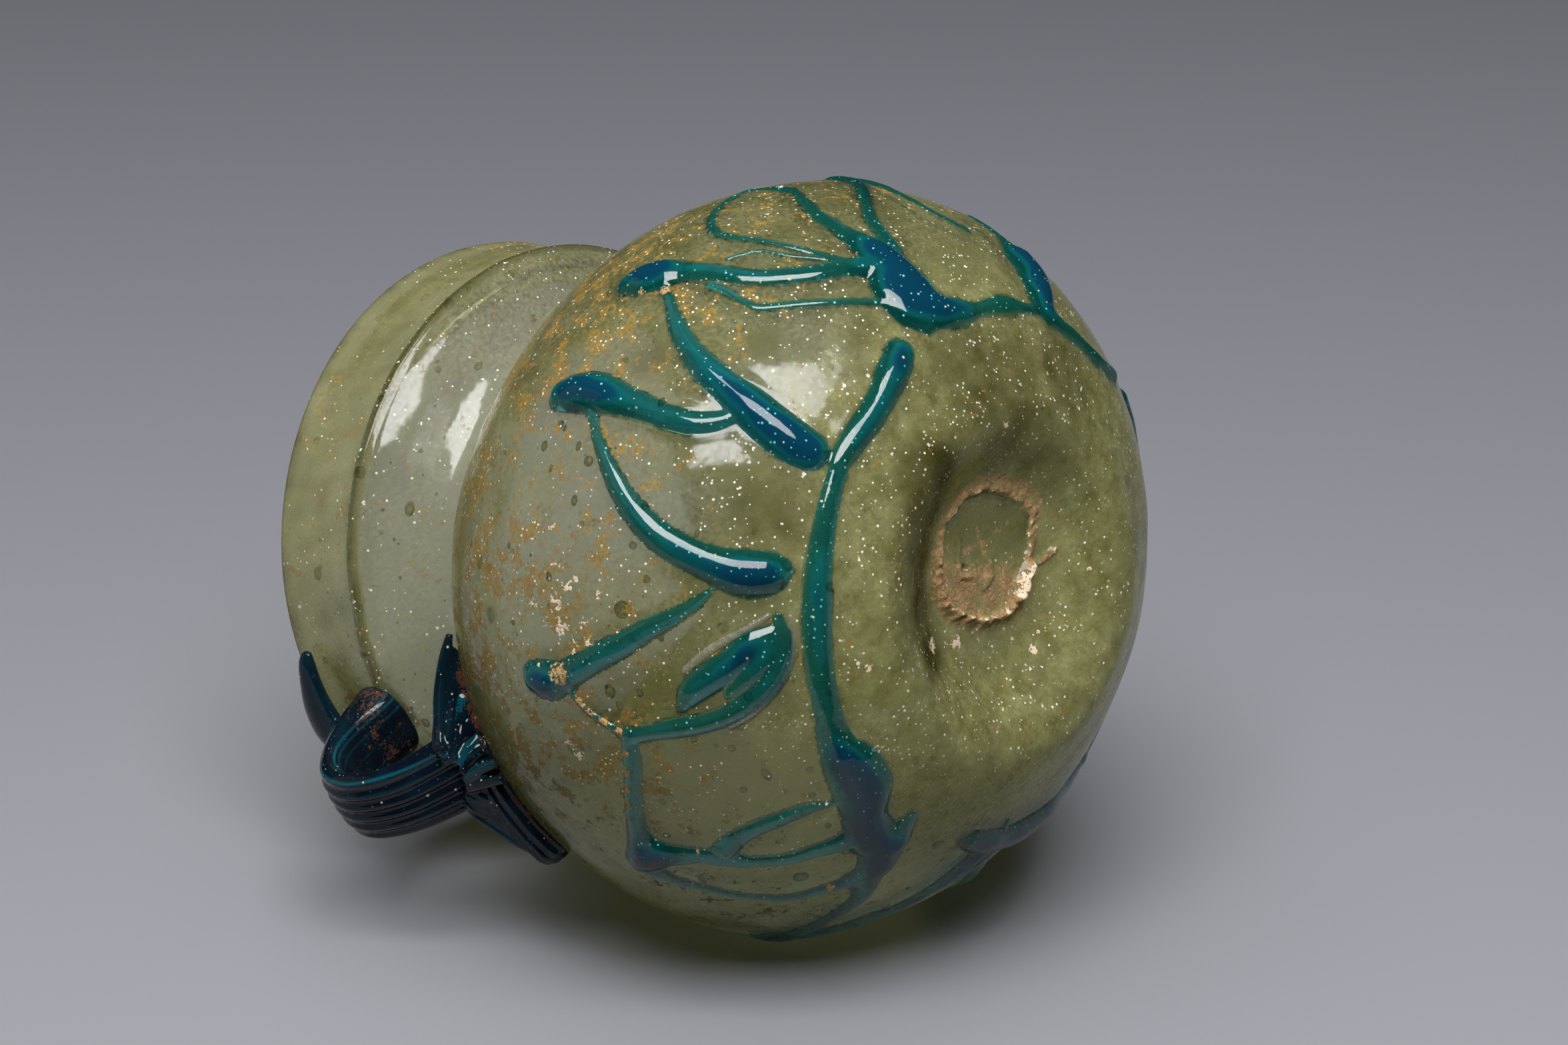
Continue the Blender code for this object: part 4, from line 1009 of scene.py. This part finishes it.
def strap_tube():
    """The ribbed strap, from its seat on the shoulder, out, up and over to its seat on the band."""
    seats, normals = on_wall(np.array([0.0]), np.array([FOOT_LATITUDE]))
    seat, normal = seats[0], normals[0]
    start = seat - normal * FOOT_SUNK
    rise = seat + normal * (GAP + STRAP_THICKNESS)
    outer = BELLY_RADIUS + STRAP_STANDOFF - STRAP_THICKNESS / 2 - STRAP_INSET
    bend = FOLD_LEVEL - STRAP_BEND
    climb = bend - rise[2]
    landing = FOLD_RADIUS + FOLD_PROUD - PAD_SUNK
    over = outer - landing
    plain = (STRAP_WIDTH, STRAP_THICKNESS, RIB_HEIGHT)
    stations = [(start[0], start[2], FOOT_WIDTH, FOOT_THICKNESS, RIB_HEIGHT * 0.5),
                (rise[0], rise[2], STRAP_WIDTH * 1.1, STRAP_THICKNESS * 1.1, RIB_HEIGHT),
                (outer - 0.17 * over, rise[2] + 0.28 * climb) + plain,
                (outer, rise[2] + 0.62 * climb) + plain,
                (outer - 0.06 * over, bend - 0.09 * climb) + plain,
                (outer - 0.27 * over, bend + 0.10 * climb) + plain,
                (outer - 0.56 * over, bend + 0.18 * climb, PAD_WIDTH, STRAP_THICKNESS * 1.5,
                 RIB_HEIGHT * 0.6),
                (landing + PAD_ROUNDING, FOLD_LEVEL, PAD_WIDTH, PAD_HEIGHT, 0),
                (landing, FOLD_LEVEL, PAD_WIDTH - PAD_ROUNDING, PAD_HEIGHT - PAD_ROUNDING, 0)]
    line = through(stations, [14] * 8)
    centres = np.stack([line[:, 0], np.zeros(len(line)), line[:, 1]], axis=1)
    side = np.tile((0, 1.0, 0), (len(line), 1))
    ahead = directions(centres, side)[0]
    ahead[:4] = normal
    ahead[-11:] = (-1.0, 0, 0)
    width, thickness, ribs = line[:, 2:3], line[:, 3:4], line[:, 4:5]
    share, under_share = np.linspace(-1, 1, 49), np.linspace(0.94, -0.94, 21)
    rounding = 0.95 * np.sqrt(np.clip(1 - np.abs(share) ** 2.6, 0, 1))
    top = thickness / 2 * rounding - ribs * 0.5 * np.cos(share * math.pi * STRAP_RIBS)
    under = -thickness / 2 * np.sqrt(1 - np.abs(under_share) ** 2.6)
    return swept(centres, side, -np.cross(ahead, side), width / 2 * np.concatenate([share, under_share]),
                 np.hstack([top, under]))


def toe_tube(stations):
    """A claw of the foot laid on the shoulder, tapering to its tip."""
    line = path_on_wall(stations, TOE_STEP)
    seats, normals = on_wall(line[:, 0], line[:, 1])
    side = directions(seats, normals)[1]
    angle = full_turn(84)
    width = line[:, 2:3]
    ridge = 1 + 0.07 * np.cos(angle * 14)
    top = (GAP + 0.9 * np.minimum(TOE_THICKNESS, width)) * ridge
    return swept(seats, side, normals, width / 2 * ridge * np.cos(angle),
                 np.sin(angle) * np.where(np.sin(angle) > 0, top, TOE_SUNK))


def tail_tube():
    """The strap's thin end, drawn up the mouth band and laid along under the rim."""
    on_fold = FOLD_RADIUS + FOLD_PROUD + GAP + TAIL_THICKNESS / 2
    on_rim = RIM_RADIUS + GAP + TAIL_THICKNESS / 2 - TAIL_SUNK
    line = through([(-1, on_fold, 0.07, 2.0, 1.4), (-4, on_rim + 0.4, 0.445, 1.5, 1.2),
                    (-4, on_rim + 0.6, 0.73, 1.25, 1.1), (1, on_rim + 0.2, 0.79, 1.1, 1.0),
                    (7, on_rim - 0.1, 0.77, 0.75, 0.8), (12, on_rim - 0.5, 0.747, 0.5, 0.6),
                    (14, on_rim - 0.8, 0.719, 0.22, 0.3)], [12] * 6)
    turn = np.radians(line[:, 0])
    around = np.stack([np.cos(turn), np.sin(turn), np.zeros_like(turn)], axis=1)
    centres = around * line[:, 1:2] + np.outer(FOLD_LEVEL + line[:, 2] * BAND_HEIGHT, (0, 0, 1))
    angle = full_turn(20)
    return swept(centres, directions(centres, around)[1], around,
                 line[:, 3:4] * TAIL_SPREAD * TAIL_WIDTH / 2 * np.cos(angle),
                 line[:, 4:5] * TAIL_THICKNESS / 2 * np.sin(angle))


# Ribs of the foot, each by turn, latitude, height of its middle off the wall, thickness, and its tint
FOOT_RIBS = (
    ([(5.5, 27.5, 5.2, 2.2), (6.8, 29.4, 4.9, 2.3), (9, 31, 4, 2.3), (13, 33, 3, 2.2), (18, 34.5, 1.8, 1.8),
      (22.5, 35.5, 0.7, 0.9)], 0.05),
    ([(4, 26.5, 5, 2), (5, 28, 4.8, 2), (8, 30, 3.2, 2), (12.5, 33, 1.5, 2), (17, 34.6, 0.9, 1.6),
      (20, 35, 0.5, 0.9)], 0.03),
    ([(5.8, 28.6, 4.6, 1.5), (9.2, 31, 2.2, 1.4), (11.5, 32, 0.5, 1.3)], 0.7),
    ([(4.4, 27.6, 4.5, 1.5), (6.4, 29.3, 2.2, 1.4), (7.9, 30.2, 0.5, 1.3)], 0.02),
    ([(3, 26.8, 4.3, 1.5), (4.4, 27.4, 2.2, 1.4), (5.2, 28, 0.5, 1.3)], 0.35),
    ([(1.6, 26.4, 4.2, 1.5), (3.2, 25.8, 2.2, 1.4), (3.9, 25.2, 0.5, 1.3)], 0.02),
    ([(0.4, 26, 4.2, 1.5), (1.8, 23.8, 2.2, 1.5), (2.7, 21.6, 0.5, 1.3)], 0.22),
    ([(-1, 26, 4.3, 1.6), (-0.2, 23, 2.4, 1.5), (0.4, 20, 0.5, 1.3)], 0.02),
    ([(-5.4, 28.4, 5.2, 2.2), (-6.6, 27.2, 4.8, 2.4), (-9, 25, 3.8, 2.6), (-13, 21.5, 2.5, 2.6),
      (-16.4, 18.6, 1.6, 2.2), (-17.4, 17.9, 1.0, 0.7)], 0.12),
    ([(-3.8, 27.5, 5, 2.2), (-5, 26.4, 4.6, 2.2), (-8, 24.5, 2.8, 2.2), (-12, 21.5, 1.6, 2.2),
      (-15, 19.4, 1.2, 1.8), (-16.2, 18.5, 0.8, 0.6)], 0.02),
    ([(-2.2, 27, 4.8, 2), (-3.6, 25.6, 3.6, 2), (-6, 24, 2.2, 1.9), (-9, 22.4, 1.1, 1.8),
      (-12, 21, 0.5, 1)], 0.1),
    ([(-1.4, 26, 3.6, 1.6), (-4.5, 25, 2.3, 1.4), (-7.5, 24.5, 1.4, 1.2), (-9, 24, 0.7, 0.8)], 0.02),
)


# Level of the middle of the strap's bend
BEND_MIDDLE = 66.0

# Bright lines drawn along the strap: place across it, strength and width
STRAP_LINES = ((4.5, 0.75, 0.13), (3.8, 0.4, 0.12), (2.7, 0.18, 0.12), (0.6, 0.12, 0.12), (-3.6, 0.15, 0.2))


def foot_rib(stations):
    """A drawn rib that leaves the strap and comes down on the shoulder."""
    line = through(stations, [10] * (len(stations) - 1))
    centres, normals = on_wall(line[:, 0], line[:, 1], line[:, 2])
    ahead, side = directions(centres, normals)
    angle = full_turn(36)
    width = line[:, 3:4]
    half = width / 2 * (1 + 0.13 * smooth(1.6, 2.1, width) * np.cos(angle * 6))
    return swept(centres, side, np.cross(side, ahead), half * np.cos(angle), half * np.sin(angle))


def height_off_wall(points):
    """About how far points stand off the belly's outer wall."""
    turn = math.radians(LEAN_TURN)
    across = points[:, 0] * math.cos(turn) + points[:, 1] * math.sin(turn)
    rise = points[:, 2] + LEAN * across - BELLY_LEVEL
    half = np.where(rise > 0, UPPER_HALF, LOWER_HALF)
    return (np.hypot(np.hypot(points[:, 0], points[:, 1]) / BELLY_RADIUS, rise / half) - 1) * MEAN_HALF


def handle(material):
    """The drawn strap with its claws, ribs and tail, run together."""
    root = FOOT_LATITUDE
    tubes = [(strap_tube(), 0.02), (tail_tube(), 0.08)]
    tubes += [(toe_tube(stations), 0.03) for stations in (
        [(-2, root, 6.0), (5, root + 1, 4.6), (12, root + 3.4, 2.6), (19, root + 5.2, 0.9)],
        [(2, root - 1, 6.0), (-4, root - 4, 5.8), (-9, root - 7, 4.8), (-15, root - 11.4, 3.4),
         (-16.4, root - 12.4, 2.6), (-17.2, root - 13, 0.7)],
        [(4, root - 1, 3.6), (0.6, root - 3, 5.0), (-2, root - 4.6, 4.4)])]
    tubes += [(foot_rib(stations), tint) for stations, tint in FOOT_RIBS]
    piece = melted("handle_glass", [part for part, _ in tubes], HANDLE_VOXEL, 4, material)

    # Each point takes the tint of the tube that it came from
    points = own_points(piece)
    tree = kdtree.KDTree(sum(len(part[0]) for part, _ in tubes))
    tints = []
    for (part_points, _), tint in tubes:
        for point in part_points:
            tree.insert(point, len(tints))
            tints.append(tint)
    tree.balance()
    tint = np.array([tints[tree.find(point)[1]] for point in points])
    off = height_off_wall(points)
    strap = smooth(4.0, 6.0, off) * (1 - smooth(FOLD_LEVEL - 4, FOLD_LEVEL - 1, points[:, 2]))
    lines = np.zeros(len(points))
    for place, strength, width in STRAP_LINES:
        lines += strength * np.exp(-((points[:, 1] - place - 0.1 * waves(points, 8, 20, 5)) / width) ** 2)
    tint = tint * (1 - 0.7 * strap) + 0.04 * waves(points, 3, 9) + lines * strap
    paint(piece, "tint", np.clip(tint, 0, 1))

    # Crust gathers where the handle meets the wall and the band, and on the strap's inner side
    seam = (1 - smooth(0.3, 1.0, off)) * (0.55 + 0.4 * waves(points, 1.5, 5))
    on_band = smooth(FOLD_LEVEL + 2, FOLD_LEVEL + 4, points[:, 2])
    bent = 0.25 * np.abs(points[:, 2] - BEND_MIDDLE)
    inner_side = 1 - smooth(-0.8, 0.6, points[:, 0] - BELLY_RADIUS + bent)
    inner_side = inner_side * smooth(3.2, 4.6, off) * (1 - on_band)
    off_rim = np.hypot(points[:, 0], points[:, 1]) - RIM_RADIUS - GAP
    band_seam = on_band * (1 - smooth(0.0, 0.7, off_rim)) * (0.6 + 0.3 * waves(points, 1.5, 5))
    crust = np.maximum.reduce([seam, band_seam, inner_side * (0.3 + 0.3 * waves(points, 2, 7))])
    paint(piece, "crust", np.clip(crust, 0, 1))
    paint(piece, "chalk", np.clip(0.5 * waves(points, 1.2, 3) - 0.35, 0, 1))
    return piece


# Bubbles

def bubbles(ground, material):
    """Air bubbles shut in the wall, most of them tiny, scattered by a fixed seed."""
    sizes = {"Density": BUBBLE_DENSITY, "Depth": -BUBBLE_DEPTH * MM, "Smallest": BUBBLE_SMALLEST * MM,
             "Largest": BUBBLE_LARGEST * MM}
    tree = bpy.data.node_groups.new("bubbles_in_wall", "GeometryNodeTree")
    tree.interface.new_socket("Geometry", in_out="INPUT", socket_type="NodeSocketGeometry")
    for name in sizes:
        tree.interface.new_socket(name, in_out="INPUT", socket_type="NodeSocketFloat")
    tree.interface.new_socket("Geometry", in_out="OUTPUT", socket_type="NodeSocketGeometry")
    given = add(tree, "NodeGroupInput").outputs
    points = add(tree, "GeometryNodeDistributePointsOnFaces", {"Mesh": given["Geometry"], "Seed": 5,
                                                               "Density": given["Density"]})
    way = add(tree, "ShaderNodeVectorMath", {0: points.outputs["Normal"], "Scale": given["Depth"]},
              operation="SCALE")
    sunk = add(tree, "GeometryNodeSetPosition", {"Geometry": points, "Offset": way})
    chance = add(tree, "FunctionNodeRandomValue", {"Seed": 11}, data_type="FLOAT")
    skew = add(tree, "ShaderNodeMath", {0: chance, 1: 2.6}, operation="POWER")
    size = add(tree, "ShaderNodeMapRange", {"Value": skew, "To Min": given["Smallest"],
                                            "To Max": given["Largest"]})
    stretch = add(tree, "FunctionNodeRandomValue", {0: (0.9, 0.7, 0.55), 1: (1.5, 1.1, 0.85), "Seed": 12},
                  data_type="FLOAT_VECTOR")
    scale = add(tree, "ShaderNodeVectorMath", {0: stretch, "Scale": size}, operation="SCALE")
    ball = add(tree, "GeometryNodeMeshUVSphere", {"Radius": 1.0, "Segments": 8, "Rings": 6})
    placed = add(tree, "GeometryNodeInstanceOnPoints", {"Points": sunk, "Instance": ball, "Scale": scale,
                                                        "Rotation": points.outputs["Rotation"]})
    real = add(tree, "GeometryNodeRealizeInstances", {"Geometry": placed})
    soft = add(tree, "GeometryNodeSetShadeSmooth", {"Geometry": real})
    dressed = add(tree, "GeometryNodeSetMaterial", {"Geometry": soft, "Material": material})
    add(tree, "NodeGroupOutput", {"Geometry": dressed})
    scatter = ground.modifiers.new("scatter", "NODES")
    scatter.node_group = tree
    for item in tree.interface.items_tree:
        if item.in_out == "INPUT" and item.name in sizes:
            scatter[item.identifier] = sizes[item.name]
    return evaluated(ground, "wall_bubbles")


def wall_skin():
    """The outer skin of the jar between the rim and the scar, for the bubbles to be strewn on."""
    line = outside_line()
    line = line[(line[:, 0] > BUBBLES_FROM_RADIUS) & (line[:, 1] < RIM_LEVEL - BUBBLES_BELOW_RIM)][::2]
    points = ring_grid(line, SKIN_SEGMENTS)[0]
    return mesh_piece("wall_skin", leaned(points), ring_faces(0, len(line), SKIN_SEGMENTS, flipped=True), AIR)


# Larger bubbles that the photo shows one by one: turn, latitude and radius
PLACED_BUBBLES = (
    (85, -38, 0.7), (84, -42, 0.8), (103, -46.5, 1.5), (65, -45, 1.0), (66, -47, 0.8), (60, -32, 0.9),
    (39, -45, 0.7), (42, -46, 0.6), (54.5, -9, 0.7), (43, -21, 0.5), (45, -55, 0.5), (38, -53, 0.6),
    (102, 8, 0.7), (44, -56.4, 0.6), (36, -56, 0.4), (33, -20, 1.1), (30, -37, 0.7), (13, 6, 0.7),
    (38, -24, 0.5), (21, -34, 0.5), (11, -7, 1.3), (7, -35, 0.5), (2, -39, 0.5), (-2, -34, 0.5),
    (0, -20, 0.5), (-4, -45, 0.5), (-27, -31, 1.0), (-28, -40, 0.7), (-10, -43, 0.5), (-7, -17, 0.5),
    (4, -18, 0.5), (-49, -46, 0.9), (-19, -58, 0.6), (-2, -57, 0.5), (9, -53, 0.5), (-83, -53, 0.6),
    (-60, -50, 0.9), (0, 8, 0.5))


def placed_bubbles(material):
    """The larger bubbles, flattened with the wall as it was blown."""
    table = np.array(PLACED_BUBBLES)
    centres, normals = on_wall(table[:, 0], table[:, 1], -PLACED_DEPTH)
    rings, sides = 9, 20
    tilt = np.repeat(np.arange(1, rings + 1) * math.pi / (rings + 1), sides)[:, None]
    angle = np.tile(full_turn(sides), rings)[:, None]
    points, faces = [], []
    for radius, centre, normal in zip(table[:, 2], centres, normals):
        side = np.cross(normal, (0, 0, 1.0))
        side /= np.linalg.norm(side)
        up = np.cross(normal, side)
        flat = normal * min(radius * PLACED_FLATNESS, PLACED_THICKEST)
        around = (side * np.cos(angle) + up * np.sin(angle)) * radius * np.sin(tilt)
        first = len(points)
        points += [centre + flat, *(centre + around + flat * np.cos(tilt)), centre - flat]
        last = len(points) - 1
        faces += ring_faces(first + 1, rings, sides)
        for j in range(sides):
            k = (j + 1) % sides
            faces += [(first, first + 1 + k, first + 1 + j), (last, last - sides + j, last - sides + k)]
    return mesh_piece("placed_bubbles", points, faces, material)


# Build

OLIVE = olive_glass()
TURQUOISE = blue_glass("trailed_turquoise_glass", "#06384e", "#12857e", "#6cb4ae", (0.66, 0.10), 0.03,
                       ("#55350f", "#d8b07a"), "#59e1f2", 2100.0, "#5c98a0")
NAVY = blue_glass("drawn_navy_glass", "#070e18", "#0f5f6c", "#0e3a48", (0.88, 0.6), 0.07,
                  ("#281914", "#5e3e2c"), "#61ceec", 2600.0, "#182830")
AIR = bubble_air()

vessel_piece = vessel(OLIVE)
handle_piece = handle(NAVY)
front_piece = vine("vine_front_glass", FRONT_THREADS, (-72, 176), (-56, 7), TURQUOISE)
back_piece = vine("vine_back_glass", far_threads(), (-182, -40), (-53, -3), TURQUOISE)
ridge_piece = vine("leaf_ridges", LEAF_RIDGES, (9, 35), (-50, -28), OLIVE)
for paint_name in ("milk", "dense"):
    paint(ridge_piece, paint_name, np.ones(len(ridge_piece.data.vertices)))
main_pieces = ((vessel_piece, "vessel", "olive_glass"), (handle_piece, "handle", "dark_blue_glass"),
               (front_piece, "vine_front", "turquoise_glass"), (back_piece, "vine_back", "turquoise_glass"))
for piece, node, slot_name in main_pieces:
    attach(piece, "root")
    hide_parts(node)
for piece in (bubbles(wall_skin(), AIR), placed_bubbles(AIR), ridge_piece):
    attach(piece, "root")


# Camera: its right, up and backward directions in the jar's frame, found from the jar's outline

CAMERA_RIGHT = Vector((-0.5768, -0.3950, -0.7150)).normalized()
CAMERA_UP = Vector((-0.6274, 0.7748, 0.0781)).normalized()
CAMERA_BACK = CAMERA_RIGHT.cross(CAMERA_UP)
CAMERA_PLACE = Vector((0.2875 + AXIS_X * MM, 0.2772 + AXIS_Y * MM, -0.3459))


def set_up(name, data, place, x_axis, y_axis):
    """A new object at a place in metres, with its x and y axes along these directions."""
    thing = in_scene(name, data)
    turned = Matrix((x_axis, y_axis, x_axis.cross(y_axis))).transposed().to_4x4()
    thing.matrix_world = Matrix.Translation(place) @ turned
    return thing


camera_data = bpy.data.cameras.new("camera")
camera_data.lens = 100.0
camera_data.sensor_width = 36.0
camera_data.clip_start = 0.01
camera_data.clip_end = 20.0
bpy.context.scene.camera = set_up("camera", camera_data, CAMERA_PLACE, CAMERA_RIGHT, CAMERA_UP)


# Stage: a floor that the lying jar touches, and one that it stands on, for views from its sides

FLOOR_PITCH = 21.3
FLOOR_HALF = 1.2
FLOOR_FRONT = 0.11
# Half the run over which a floor's tone shifts from near to far, in metres; on the lying floor that shift is
# painted shade
FLOOR_SHADED = 0.55


def stage_plane(name, centre, x_axis, y_axis, material):
    """A square sheet with its upper side along the cross of its axes."""
    mesh = bpy.data.meshes.new(name)
    corners = [(x * FLOOR_HALF, y * FLOOR_HALF, 0) for x, y in ((-1, -1), (1, -1), (1, 1), (-1, 1))]
    mesh.from_pydata(corners, [], [(0, 1, 2, 3)])
    mesh.materials.append(material)
    plane = set_up(name, mesh, centre, x_axis, y_axis)
    plane.visible_diffuse = False
    plane.visible_shadow = False
    return plane


pitch = math.radians(FLOOR_PITCH)
floor_normal = CAMERA_UP * math.cos(pitch) + CAMERA_BACK * math.sin(pitch)
floor_away = CAMERA_UP * math.sin(pitch) - CAMERA_BACK * math.cos(pitch)
middle = Vector((AXIS_X * MM, AXIS_Y * MM, BELLY_LEVEL * MM))
deepest = min(floor_normal.dot(vertex.co) for piece, _, _ in main_pieces for vertex in piece.data.vertices)
foot = middle + floor_normal * (deepest - floor_normal.dot(middle))
slide = FLOOR_HALF - FLOOR_FRONT
# The lying floor darkens away from the camera: painted shade for light falling off across the sheet
stage_plane("lying_floor", foot + floor_away * slide, CAMERA_RIGHT, floor_away,
            floor_sheet("grey_laminate_with_painted_falloff", "#8d8e93", "#6c6d74", -FLOOR_SHADED - slide, FLOOR_SHADED - slide,
                        0.42))
standing = stage_plane("standing_floor", Vector((0, 0, 0)), Vector((1, 0, 0)), Vector((0, 1, 0)),
                       floor_sheet("pale_laminate", "#a9a9ad", "#a9a9ad", -FLOOR_SHADED, FLOOR_SHADED, 0.5))
standing.visible_glossy = False
standing.visible_volume_scatter = False


# Lights

def softbox(name, direction, distance, width, height, power):
    """A plain rectangular softbox that looks at the jar from a direction in the camera's axes."""
    data = bpy.data.lights.new(name, "AREA")
    data.shape = "RECTANGLE"
    data.size = width
    data.size_y = height
    data.energy = power
    right, up, back = direction
    way = (CAMERA_RIGHT * right + CAMERA_UP * up + CAMERA_BACK * back).normalized()
    across = (CAMERA_RIGHT - way * CAMERA_RIGHT.dot(way)).normalized()
    light = set_up(name, data, middle + way * distance, across, way.cross(across))
    light.visible_camera = False
    return light


softbox("key_softbox", (0.0, 0.60, 0.80), 0.9, 0.68, 0.50, 14.6)
softbox("side_fill", (-1.0, 0.25, 0.1), 1.2, 0.9, 0.9, 0.6)
softbox("far_fill", (0.3, -0.3, -1.0), 1.3, 0.9, 0.9, 8.0)
softbox("overhead_softbox", (-0.1, 0.93, 0.36), 1.1, 1.2, 1.2, 10.0).visible_glossy = False
world = bpy.data.worlds.new("studio")
world.use_nodes = True
background = world.node_tree.nodes["Background"]
background.inputs["Color"].default_value = linear("#b9bbc0")
background.inputs["Strength"].default_value = 0.035
bpy.context.scene.world = world
bpy.context.scene.view_settings.view_transform = "Standard"
